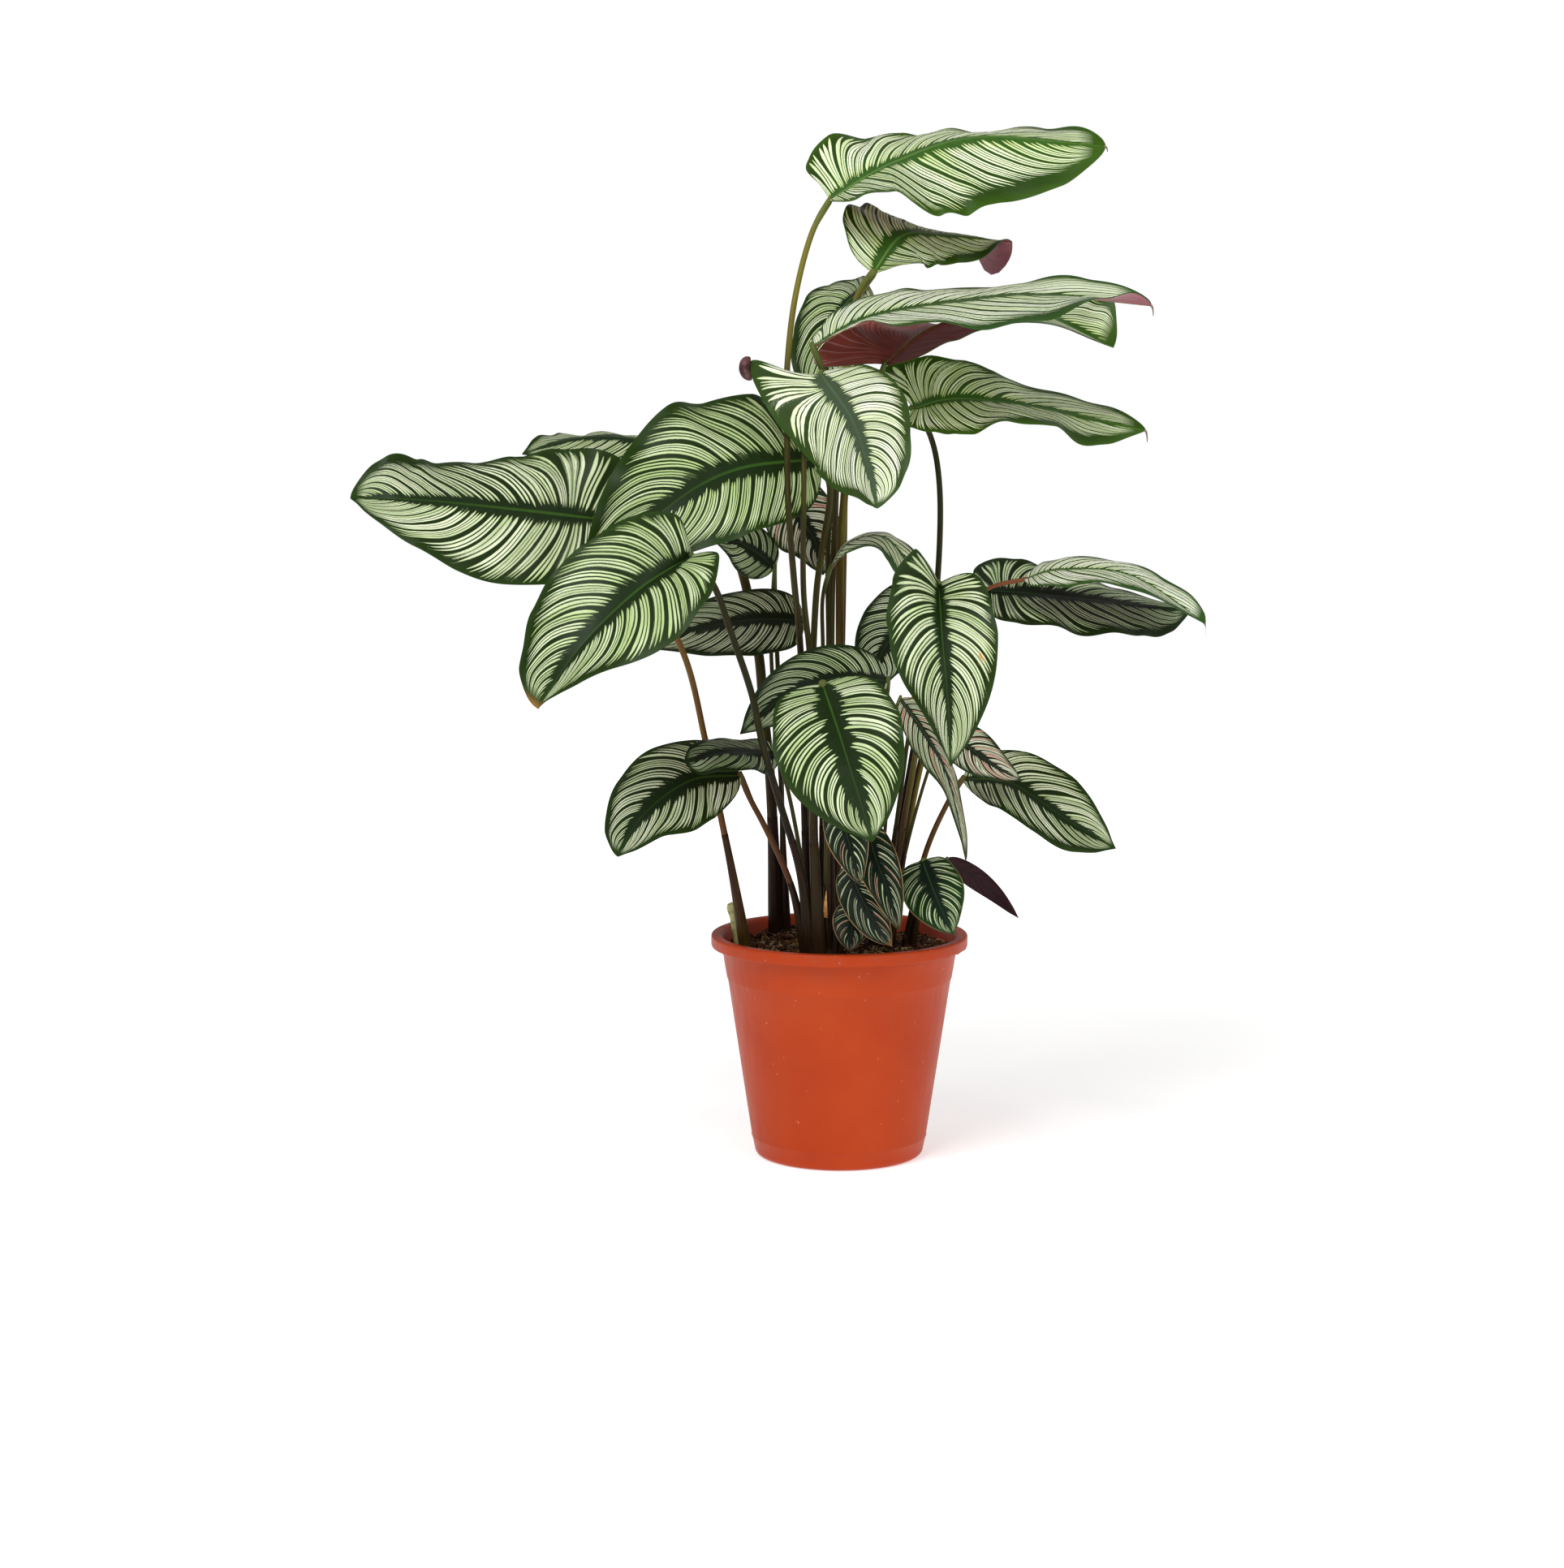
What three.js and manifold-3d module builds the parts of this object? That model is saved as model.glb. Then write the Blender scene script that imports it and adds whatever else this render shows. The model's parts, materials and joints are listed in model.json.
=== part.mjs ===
// Potted white star calathea: a bushy striped foliage plant in a round nursery pot.
// Millimetres, +Z up, the front toward -Y, the underside of the pot at z = 0.
import * as THREE from "three";
import { mergeVertices } from "three/addons/utils/BufferGeometryUtils.js";
import Module from "manifold-3d";

const wasm = await Module();
wasm.setup();

// Pot, a standard 21 cm nursery pot
const RIM_R = 105;
const POT_H = 183;
const BASE_R = 69.5;
const RIM_BAND_H = 9;
const LIP_OUT = 8;
const SHOULDER_DROP = 36;
const SHOULDER_STEP = 0.8;
const FOOT_H = 16;
const FOOT_ROUND = 5;
const WALL = 2;
const FLOOR_T = 3;
const DRAIN_COUNT = 4;
const DRAIN_R = 6;
const DRAIN_RING_R = 46;
const POT_SIDES = 36;

// Soil
const SOIL_BELOW_RIM = 13;
const SOIL_GAP = 0.3;
const SOIL_RINGS = 7;
const SOIL_SIDES = 24;
const LUMP_H = 2.2;
const MOUND = { x: -35, y: 45, height: 6, spread: 28 };

// Leaf blades and stems
const BLADE_T = 0.8;
const KEEL_T = 2.2;
const FIT_GAP = 0.3;
const LOBE_SPAN = 0.3;
const SKEW = 0.72;
const FULLNESS = 0.8;
const BEND = 20;
const LARGE_HALF = 37;
const RIB_SPREAD = 1.5;
const TOWARD = new THREE.Vector3(0, -1, 0.16).normalize();
const ACROSS = [0, 0.1, 0.4, 0.72, 1];
const ACROSS_SMALL = [0, 0.15, 0.6, 1];
const STEM_SIDES = 5;
const CROWN_LOW = 140;
const CROWN_TOP = 180;
const CROWN_SIDES = 11;
const STEM_STEP = 50;
const NEST = 3;
const POCKET_WIDER = 1.3;
const SNAP = 0.06;

// Colours
const GREEN = 0x2f5a2c;
const PALE_GREEN = 0x7d9a58;
const PINK_GREEN = 0x8c6a52;
const PURPLE = 0x5c3037;
const STEM_BROWN = 0x3c3218;
const CUT_TAN = 0xa98c5a;
const SOIL_BROWN = 0x33241a;
const POT_ORANGE = 0xb54020;

// Each blade: the midrib from stem to tip, the half width, and how far the left and right
// halves turn toward the front (degrees, at even steps from base to tip). Options, one for
// both halves or a pair: skew (how near the base it is widest), lobe (share of the length
// that the lobes reach back), full (blunter below 0.8, more pointed above), bend (degrees that
// each half arches over its width) and wave (height, waves along the edge, phase).
const LEAVES = [
  { name: "leaf_crown", colour: GREEN,
    rib: [[-9, 0, 774], [41, -5, 803], [108, -5, 823], [210, 0, 816]], half: [69.2, 72.4],
    skew: [0.89, 0.93], left: [-28, -29, -48, -58, -64, -68, -60, -34],
    right: [77, 74, 66, 37, 30, 24, 12, -2], lobe: [0.14, 0.06], full: [0.48, 0.57],
    bend: 12, wave: [2.2, 5, 0.5] },
  { name: "leaf_upper_rolled", colour: GREEN,
    rib: [[25, -20, 716], [49, 0, 746], [84, 20, 748], [139, 35, 743]], half: [62.2, 36.9],
    skew: [1.21, 1.12], left: [-5, 9, -6, -37, -57, -66, -71, -73, -195],
    right: [-30, -26, 13, 40, 45, 34, 106], lobe: [0, -0.03], full: [0.4, 0.8], bend: 12 },
  { name: "leaf_upper_long", colour: PALE_GREEN,
    rib: [[-23, -58, 658], [18, -64, 679], [71, -68, 690], [147, -62, 698], [243, -45, 690]],
    half: [51.1, 63.4], skew: [0.84, 1.48],
    left: [-66, -57, -54, -56, -59, -65, -62, -44, -20],
    right: [74, 78, 79, 72, 71, 63, 66, 83, 120], lobe: [0.11, -0.06], full: [0.48, 0.72],
    bend: 12, wave: [1.8, 5, 0] },
  { name: "leaf_upper_twisted", colour: PURPLE,
    rib: [[34, -30, 644], [77, -12, 675], [147, 0, 688], [219, 5, 658]], half: [55.2, 49.3],
    skew: [1.5, 0.61], left: [124, 128, 126, 119, 108, 92, 60, 5],
    right: [-164, -141, -109, -92, -76, -74, -81, -78], lobe: [0.03, 0.34],
    full: [0.4, 1.3], bend: 10 },
  { name: "leaf_upper_back", colour: GREEN,
    rib: [[23, 75, 708], [5, 80, 694], [-6, 85, 665], [-16, 80, 606]], half: [42, 47.6],
    skew: [0.95, 0.92], left: [0, 0, 0], right: [-57, -57, -48, -36, -29, -16, -3],
    lobe: [0.03, 0.12], full: [0.8, 0.66] },
  { name: "leaf_front_upper", colour: GREEN,
    rib: [[-17, -60, 637], [6, -110, 603], [17, -150, 570], [24, -175, 536]],
    half: [46.3, 51.8], skew: [0.89, 0.65], left: [0, 18, 30, 36, 35, 26, 7],
    right: [8, -21, -35, -44, -51, -59, -67], lobe: [0.01, 0.47], full: [0.61, 0.86],
    bend: 14 },
  { name: "leaf_right_upper", colour: GREEN,
    rib: [[57, -10, 609], [92, -15, 617], [153, -15, 611], [245, 0, 592]],
    half: [51.3, 54.8], skew: [0.89, 0.81], left: [-5, -21, -34, -45, -55, -52, -36],
    right: [66, 63, 56, 59, 72, 68, 28, -9], lobe: [0.28, 0.16], full: [0.56, 0.79],
    bend: 14, wave: [0.8, 6, 2] },
  { name: "leaf_big_left", colour: GREEN,
    rib: [[-18, -40, 570], [-84, -75, 562], [-138, -100, 532], [-200, -110, 474]],
    half: [60.3, 74], skew: [0.77, 0.6], left: [14, 25, 31, 25, 17, 12],
    right: [-34, -20, -21, -3, -6, 3, 20, 40], lobe: [0.06, 0.11], full: [0.94, 0.69],
    bend: [10, 20] },
  { name: "leaf_lower_left", colour: GREEN,
    rib: [[-116, -140, 499], [-157, -170, 473], [-197, -190, 434], [-230, -195, 387]],
    half: [59.8, 57.4], skew: [0.7, 0.99], left: [74, 54, 42, 41, 49, 56],
    right: [48, 21, 1, -7, -17, -25, -20], lobe: [0.13, 0.1], full: [1.13, 0.4] },
  { name: "leaf_far_left", colour: GREEN,
    rib: [[-195, -20, 522], [-267, -35, 531], [-334, -50, 538], [-389, -40, 539]],
    half: [62.9, 64.8], skew: [0.6, 0.77], left: [36, 25, 20, 21, 32, 41, 47],
    right: [3, -14, -32, -42, -44, -36, -11, 7], lobe: [0.07, 0.22], full: [0.86, 0.55] },
  { name: "leaf_left_back", colour: GREEN,
    rib: [[-124, 90, 570], [-169, 85, 584], [-214, 75, 585], [-261, 60, 572]],
    half: [40, 47.3], skew: [0.72, 0.87], left: [40, 50, 40],
    right: [-63, -66, -70, -73, -69, -74, -61, -43, -29], lobe: [0.03, 0.02],
    full: [0.8, 0.92], wave: [1.5, 6, 0] },
  { name: "leaf_middle_left_dark", colour: GREEN,
    rib: [[-53, 50, 479], [-69, 45, 492], [-86, 40, 501], [-106, 30, 506]], half: 24,
    left: [30, 30, 30], right: [-20, -20, -20] },
  { name: "leaf_middle_left", colour: GREEN,
    rib: [[-29, 30, 437], [-72, 25, 438], [-118, 20, 430], [-163, 12, 418]], half: [40, 34],
    left: [45, 50, 45], right: [-20, -30, -30], lobe: 0.06 },
  { name: "leaf_middle_hanging", colour: PINK_GREEN,
    rib: [[-49, 60, 552], [-33, 58, 522], [-19, 54, 499], [-13, 50, 473]], half: 30,
    left: [0, 0, 0], right: [0, 0, 0] },
  { name: "leaf_middle_arch", colour: GREEN,
    rib: [[-8, -14, 483], [7, -22, 503], [35, -26, 507], [59, -20, 480]],
    half: [26.2, 32.7], skew: [1.15, 1.5], left: [-79, -76, -69, -62, -32],
    right: [86, 81, 79, 72, 55], lobe: [0.01, -0.06], full: [0.4, 0.42] },
  { name: "leaf_front_right", colour: GREEN,
    rib: [[74, -110, 476], [75, -145, 438], [79, -160, 392], [82, -150, 338]],
    half: [43.7, 49.9], skew: [0.69, 0.47], left: [39, 32, 27, 20, 11, 3],
    right: [74, 51, 38, 18, 1, -12, -24], lobe: [0.09, 0.13], full: [0.8, 1.02] },
  { name: "leaf_right_pale", colour: PALE_GREEN,
    rib: [[145, -45, 475], [174, -50, 483], [230, -50, 478], [291, -35, 439]],
    half: [35.3, 31.4], skew: [0.9, 0.81], left: [-68, -63, -58, -59, -53, -26],
    right: [78, 72, 69, 74, 69, 69, 76], lobe: 0.06, full: [0.4, 0.85] },
  { name: "leaf_right_dark", colour: GREEN,
    rib: [[117, -10, 464], [172, -5, 460], [230, 0, 453], [284, 10, 447]], half: [45, 47.2],
    skew: [0.95, 0.81], left: [0, -22, -42, -51, -58, -61, -64],
    right: [49, 58, 62, 56, 60, 53, 36, 18], lobe: [0.19, 0.09], full: [1.11, 0.56],
    wave: [0.8, 4, 0] },
  { name: "leaf_behind_right", colour: PINK_GREEN,
    rib: [[67, -10, 463], [47, -15, 435], [31, -15, 409], [28, -10, 382]], half: [34, 30.6],
    skew: [0.72, 0.71], left: [0, 0, 0], right: [15, 6, -3, -15, -27], lobe: [0.06, 0.07],
    full: [0.8, 0.94] },
  { name: "leaf_front_low", colour: GREEN,
    rib: [[-16, -150, 401], [-4, -190, 368], [7, -210, 334], [21, -205, 288]],
    half: [49.3, 54], skew: [0.76, 0.82], left: [17, 25, 27, 17, 6],
    right: [23, 27, 24, 8, -12], lobe: [0.05, 0.07], full: 0.75 },
  { name: "leaf_behind_low", colour: GREEN,
    rib: [[37, -60, 396], [-5, -75, 399], [-46, -88, 385], [-80, -95, 357]], half: 28,
    left: [0, 0, 0], right: [0, 0, 0] },
  { name: "leaf_low_left", colour: GREEN,
    rib: [[-80, -50, 319], [-119, -75, 318], [-155, -95, 294], [-176, -100, 261]],
    half: [40.2, 46.8], skew: [0.88, 0.89], left: [29, 30, 33, 46, 50],
    right: [-31, -31, -25, -29, -36, -29], lobe: [0.02, 0.08], full: [0.81, 0.49],
    wave: [0.8, 3, 0] },
  { name: "leaf_low_left_rolled", colour: GREEN,
    rib: [[-50, -50, 335], [-72, -72, 340], [-96, -92, 342], [-123, -100, 336]],
    half: [24.4, 28], skew: [1.08, 0.99], left: [25, 47, 61, 55, 22],
    right: [-39, -55, -56, -46, -31], lobe: [-0.02, 0.1], full: [0.4, 0.59] },
  { name: "leaf_low_right", colour: GREEN,
    rib: [[100, 0, 310], [139, -15, 308], [181, -30, 281], [222, -35, 258]],
    half: [39.2, 39.5], skew: [0.88, 0.96], left: [-31, -29, -25, -17, -7, 1],
    right: [49, 52, 60, 59, 45, 33], lobe: [0.09, 0], full: [0.96, 0.82],
    wave: [0.8, 3, 0] },
  { name: "leaf_pink_right", colour: PINK_GREEN,
    rib: [[84, -45, 352], [100, -50, 343], [120, -55, 329], [144, -50, 315]], half: 18,
    left: [0, 0, 0], right: [0, 0, 0] },
  { name: "leaf_pink_hanging", colour: PINK_GREEN,
    rib: [[45, -95, 385], [64, -105, 359], [82, -110, 324], [97, -105, 259]],
    half: [24.5, 15.4], skew: [0.86, 0.8], left: [-27, -43, -58, -60, -47],
    right: [-35, -7, 23, 60, 90], lobe: [0.03, 0.05], full: [0.65, 1] },
  { name: "leaf_young_front", colour: PINK_GREEN,
    rib: [[-5, -90, 305], [2, -100, 284], [8, -108, 263], [14, -110, 240]], half: 17,
    left: [0, 0, 0], right: [0, 0, 0] },
  { name: "leaf_young_middle", colour: PINK_GREEN,
    rib: [[20, -75, 284], [26, -90, 261], [36, -101, 234], [45, -107, 203]], half: 17,
    left: [0, 0, 0], right: [0, 0, 0] },
  { name: "leaf_young_low", colour: PINK_GREEN,
    rib: [[6, -45, 247], [14, -60, 226], [27, -75, 203], [40, -85, 187]], half: 17,
    left: [0, 0, 0], right: [0, 0, 0] },
  { name: "leaf_young_behind", colour: PINK_GREEN,
    rib: [[16, -44, 214], [11, -52, 204], [8, -59, 192], [7, -64, 179]], half: 17,
    left: [0, 0, 0], right: [0, 0, 0] },
  { name: "leaf_young_right", colour: PINK_GREEN,
    rib: [[65, -60, 252], [71, -80, 236], [79, -92, 217], [88, -95, 198]], half: 25,
    left: [0, 0, 0], right: [0, 0, 0], lobe: 0.1 },
  { name: "leaf_young_purple", colour: PURPLE,
    rib: [[86, -10, 245], [107, 0, 231], [127, 5, 215], [147, 0, 195]], half: 9,
    left: [0, 0, 0], right: [0, 0, 0] },
];

// Leaf stems, grouped in the shoots that grow as one from a low crown in the soil: the leaf
// that each carries, its radius and its route, which runs on into the leaf's base.
const SHOOTS = [
  { name: "shoot_main", crown: { x: -15, y: 1, r: 16.5 }, stems: [
    { leaf: "leaf_crown", r: 2.6, route: [[-25, -5, 165], [-30, -28, 320], [-32, -45, 414],
      [-38, -77, 481], [-42, -96, 533], [-43, -62, 590], [-43, -38, 640], [-36, -20, 700],
      [-22, -8, 751]] },
    { leaf: "leaf_front_upper", r: 2.4, route: [[-19, -10, 165], [-22, -32, 320],
      [-25, -44, 414], [-30, -61, 467], [-30, -81, 540], [-29, -62, 590], [-24, -52, 620]] },
    { leaf: "leaf_big_left", r: 2.8, route: [[-21, 2, 165], [-24, -12, 330],
      [-22, -25, 415], [-19, -28, 469], [-15, -28, 498], [-9, -29, 548]] },
    { leaf: "leaf_upper_rolled", r: 3.4, route: [[-5, 1, 165], [0, 8, 330], [0, 14, 415],
      [0, 15, 476], [1, 18, 507], [4, 22, 546], [7, 30, 664], [14, 0, 699]] },
    { leaf: "leaf_upper_long", r: 2.6, route: [[-8, -8, 165], [-7, -6, 330], [-7, -3, 415],
      [-6, 0, 477], [-4, 4, 521], [-4, -12, 590], [-14, -44, 636]] },
    { leaf: "leaf_upper_twisted", r: 2.2, route: [[-11, 7, 165], [-10, 13, 330],
      [-9, 15, 415], [-8, 16, 521], [8, 4, 590], [25, -18, 620]] },
    { leaf: "leaf_upper_back", r: 2.4, route: [[-5, 9, 165], [2, 26, 400], [4, 36, 500],
      [6, 60, 560], [15, 100, 640], [28, 98, 695]] },
    { leaf: "leaf_middle_left", r: 2.2, route: [[-18, 11, 165], [-22, 20, 300],
      [-24, 27, 415]] },
    { leaf: "leaf_middle_arch", r: 1.8, route: [[-14, -4, 165], [-15, -6, 330],
      [-14, -8, 415], [-14, -9, 460]] },
  ] },
  { name: "shoot_centre", crown: { x: -16, y: -39, r: 14 }, stems: [
    { leaf: "leaf_lower_left", r: 2.8, route: [[-24, -44, 165], [-31, -52, 235],
      [-49, -80, 302], [-62, -100, 349], [-71, -112, 392], [-86, -115, 437],
      [-99, -122, 474]] },
    { leaf: "leaf_front_low", r: 3.6, route: [[-17, -46, 165], [-20, -52, 230],
      [-22, -70, 289], [-20, -98, 334], [-18, -130, 376]] },
    { leaf: "leaf_low_left", r: 2.5, route: [[-26, -37, 165], [-40, -42, 230],
      [-62, -48, 280], [-72, -48, 299]] },
    { leaf: "leaf_low_left_rolled", r: 1.8, route: [[-20, -33, 165], [-30, -35, 240],
      [-42, -42, 305]] },
    { leaf: "leaf_young_front", r: 2.6, route: [[-11, -40, 165], [-11, -48, 230],
      [-10, -75, 288]] },
    { leaf: "leaf_young_middle", r: 1.6, route: [[-8, -34, 165], [3, -30, 225],
      [14, -50, 272]] },
    { leaf: "leaf_young_low", r: 1.6, route: [[-7, -41, 165], [-1, -39, 215]] },
    { leaf: "leaf_young_behind", r: 1.5, route: [[-6, -37, 165], [6, -36, 190]] },
  ] },
  { name: "shoot_right", crown: { x: 34.5, y: 15.5, r: 15.2 }, stems: [
    { leaf: "leaf_right_upper", r: 2.6, route: [[33, 25, 165], [46, 20, 244],
      [60, 16, 329], [71, 10, 396], [79, 4, 474], [80, 0, 544], [75, 0, 579],
      [67, -4, 598]] },
    { leaf: "leaf_front_right", r: 2.4, route: [[33, 10, 165], [47, 3, 244],
      [61, -12, 330], [70, -50, 400], [76, -90, 462]] },
    { leaf: "leaf_right_pale", r: 1.8, route: [[41, 18, 165], [53, 15, 244],
      [68, 7, 325], [90, -10, 420], [115, -38, 466]] },
    { leaf: "leaf_right_dark", r: 2, route: [[40, 26, 165], [52, 25, 244], [68, 19, 330],
      [92, 6, 430]] },
    { leaf: "leaf_behind_right", r: 1.8, route: [[33, 17, 165], [43, 11, 244],
      [54, 5, 330], [66, 1, 430]] },
    { leaf: "leaf_behind_low", r: 2, route: [[25, 17, 165], [30, 5, 280],
      [36, -35, 370]] },
    { leaf: "leaf_pink_right", r: 1.5, route: [[41, 10, 165], [54, 0, 250],
      [76, -27, 335]] },
    { leaf: "leaf_pink_hanging", r: 1.5, route: [[27, 8, 165], [35, -12, 250],
      [40, -55, 340], [41, -82, 370]] },
    { leaf: "leaf_young_right", r: 1.6, route: [[37, 5, 165], [47, -8, 200],
      [60, -45, 242]] },
  ] },
  { name: "shoot_low_right", crown: { x: 57, y: 13, r: 6 }, stems: [
    { leaf: "leaf_low_right", r: 2.4, route: [[56, 15, 165], [70, 14, 244],
      [89, 5, 291]] },
    { leaf: "leaf_young_purple", r: 1.5, route: [[59, 10, 165], [67, 6, 205],
      [78, -4, 236]] },
  ] },
  { name: "shoot_back_left", crown: { x: -47, y: 51, r: 10 }, stems: [
    { leaf: "leaf_left_back", r: 4.2, route: [[-51, 49, 165], [-57, 52, 307],
      [-62, 53, 358], [-67, 57, 412], [-85, 75, 490]] },
    { leaf: "leaf_middle_left_dark", r: 1.8, route: [[-43, 48, 165], [-48, 50, 300],
      [-56, 53, 412]] },
    { leaf: "leaf_middle_hanging", r: 2, route: [[-45, 56, 165], [-48, 62, 330],
      [-53, 66, 480]] },
  ] },
  { name: "shoot_far_left", crown: { x: -74.5, y: -20.5, r: 5.4 }, stems: [
    { leaf: "leaf_far_left", r: 2.6, route: [[-75, -21, 165], [-87, -35, 238],
      [-98, -35, 293], [-109, -31, 347], [-125, -32, 413], [-160, -30, 480]] },
  ] },
  { name: "stem_cut", crown: { x: -80, y: -1, r: 5.2 }, stems: [
    { leaf: null, r: 3.8, route: [[-80, -1, 165], [-84, -3, 184], [-88, -5, 208]] },
  ] },
];

// A point and a direction on the midrib, carried on straight past the base
function alongRib(curve, x) {
  const t = THREE.MathUtils.clamp(x, 0, 1);
  const point = curve.getPoint(t);
  const tangent = curve.getTangent(t);
  const beyond = Math.min(x, 0) * curve.getLength();
  return { point: point.addScaledVector(tangent, beyond), tangent };
}

// A value between those given at even steps from the base to the tip
function between(values, x) {
  const t = THREE.MathUtils.clamp(x, 0, 1) * (values.length - 1);
  const k = Math.min(Math.floor(t), values.length - 2);
  return THREE.MathUtils.lerp(values[k], values[k + 1], THREE.MathUtils.smoothstep(t - k, 0, 1));
}

// One value for both halves of a blade, or a pair: left, then right
function halfOf(value, side) {
  return Array.isArray(value) ? value[side > 0 ? 0 : 1] : value;
}

// Where a side vein lies on the flat blade: from the midrib (v = 0) to the edge (v = 1)
function flatVein(leaf, s, v, side) {
  const lobe = halfOf(leaf.lobe ?? 0.03, side);
  const edgeX = s - lobe * Math.sin(Math.PI * Math.min(1, s / LOBE_SPAN));
  const skew = halfOf(leaf.skew ?? SKEW, side);
  const full = halfOf(leaf.full ?? FULLNESS, side);
  const edgeY = Math.abs(Math.sin(Math.PI * s ** skew)) ** full;
  const ribX = s ** RIB_SPREAD;
  const turnX = ribX + 0.3 * (edgeX - ribX);
  const turnY = 0.6 * edgeY;
  return {
    x: (1 - v) ** 2 * ribX + 2 * v * (1 - v) * turnX + v * v * edgeX,
    y: 2 * v * (1 - v) * turnY + v * v * edgeY,
  };
}

// The blade's place and upward normal; side is +1 on the left half and -1 on the right
function bladeAt(leaf, curve, s, v, side) {
  const flat = flatVein(leaf, s, v, side);
  const { point, tangent } = alongRib(curve, flat.x);
  const front = TOWARD.clone().addScaledVector(tangent, -TOWARD.dot(tangent)).normalize();
  const sideways = front.clone().cross(tangent).multiplyScalar(side);
  const turns = halfOf([leaf.left, leaf.right], side);
  const turn = THREE.MathUtils.degToRad(between(turns, flat.x));
  const out = sideways.clone().multiplyScalar(Math.cos(turn))
    .addScaledVector(front, Math.sin(turn));
  const up = front.clone().multiplyScalar(Math.cos(turn))
    .addScaledVector(sideways, -Math.sin(turn));
  const bend = THREE.MathUtils.degToRad(halfOf(leaf.bend ?? BEND, side));
  const angle = bend * flat.y;
  const reach = halfOf(leaf.half, side) / bend;
  const [height, waves, phase] = leaf.wave ?? [0, 0, 0];
  const lift = height * v * v * Math.sin(2 * Math.PI * waves * s + phase + side)
    * Math.sin(Math.PI * s);
  const place = point.addScaledVector(out, reach * Math.sin(angle))
    .addScaledVector(up, reach * (Math.cos(angle) - 1) + lift);
  const normal = up.multiplyScalar(Math.cos(angle)).addScaledVector(out, Math.sin(angle));
  return { place, normal };
}

// A closed thin solid: both faces share one grid of stations, joined around the edge
function bladeGeometry(leaf) {
  const curve = new THREE.CatmullRomCurve3(
    leaf.rib.map((p) => new THREE.Vector3(...p)), false, "catmullrom", 0.5);
  const large = halfOf(leaf.half, -1) > LARGE_HALF;
  const stations = large ? 12 : 8;
  const steps = large ? ACROSS : ACROSS_SMALL;
  const across = [...steps.slice(1).reverse().map((v) => [v, 1]), [0, 1],
    ...steps.slice(1).map((v) => [v, -1])];
  const positions = [];
  const faces = [];
  const last = across.length - 1;
  const ends = [0, stations];
  const key = (i, j, face) => 2 * (i * across.length + (ends.includes(i) ? last / 2 : j)) + face;
  for (let i = 0; i <= stations; i += 1) {
    const s = i / stations;
    for (const [v, side] of across) {
      const { place, normal } = bladeAt(leaf, curve, s, v, side);
      if (v === 0) {
        normal.add(bladeAt(leaf, curve, s, v, -side).normal).normalize();
      }
      const under = v === 0 ? THREE.MathUtils.lerp(KEEL_T, BLADE_T, s) : BLADE_T / 2;
      positions.push(...place.clone().addScaledVector(normal, BLADE_T / 2).toArray());
      positions.push(...place.clone().addScaledVector(normal, -under).toArray());
    }
  }
  for (let i = 0; i < stations; i += 1) {
    for (let j = 0; j < last; j += 1) {
      const corner = [[i, j], [i + 1, j], [i + 1, j + 1], [i, j + 1]];
      const [a, b, c, d] = corner.map(([p, q]) => key(p, q, 0));
      const [e, f, g, h] = corner.map(([p, q]) => key(p, q, 1));
      faces.push([a, c, b], [a, d, c], [e, f, g], [e, g, h]);
    }
    const [leftTop, leftNext, rightTop, rightNext] =
      [key(i, 0, 0), key(i + 1, 0, 0), key(i, last, 0), key(i + 1, last, 0)];
    faces.push([leftTop, leftNext, leftNext + 1], [leftTop, leftNext + 1, leftTop + 1]);
    faces.push([rightTop, rightNext + 1, rightNext], [rightTop, rightTop + 1, rightNext + 1]);
  }
  const whole = faces.filter(([a, b, c]) => a !== b && b !== c && c !== a);
  const geometry = new THREE.BufferGeometry();
  geometry.setAttribute("position", new THREE.Float32BufferAttribute(positions, 3));
  geometry.setIndex(whole.flat());
  return geometry;
}

// A round stem of constant thickness along a smooth route
function stemGeometry(route, radius) {
  const curve = new THREE.CatmullRomCurve3(route.map((p) => new THREE.Vector3(...p)));
  const section = new THREE.Shape();
  section.absarc(0, 0, radius, 0, 2 * Math.PI);
  return new THREE.ExtrudeGeometry(section, {
    extrudePath: curve,
    steps: Math.max(3, Math.round(curve.getLength() / STEM_STEP)),
    curveSegments: STEM_SIDES / 2,
    bevelEnabled: false,
  });
}

// Solids for joining and cutting
function toSolid(geometry) {
  const bare = new THREE.BufferGeometry();
  bare.setAttribute("position", geometry.getAttribute("position"));
  if (geometry.index) {
    bare.setIndex(geometry.index);
  }
  const merged = mergeVertices(bare, 1e-3);
  const triangles = [];
  const source = merged.index.array;
  for (let i = 0; i < source.length; i += 3) {
    const [a, b, c] = source.slice(i, i + 3);
    if (a !== b && b !== c && c !== a) {
      triangles.push(a, b, c);
    }
  }
  return new wasm.Manifold(new wasm.Mesh({
    numProp: 3,
    vertProperties: new Float32Array(merged.getAttribute("position").array),
    triVerts: new Uint32Array(triangles),
  }));
}

// The low crown that a shoot's stems grow from, half sunk in the soil
function crownSolid({ x, y, r }, gap) {
  const outline = [[0, 0], [0.6, 0], [1, 0.4], [1, 0.85], [0.7, 1], [0, 1]].map(
    ([share, level]) => new THREE.Vector2(
      share * (r + gap), CROWN_LOW - gap + level * (CROWN_TOP - CROWN_LOW + 2 * gap)));
  return toSolid(new THREE.LatheGeometry(outline, CROWN_SIDES)
    .rotateX(Math.PI / 2).translate(x, y, 0));
}

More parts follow.
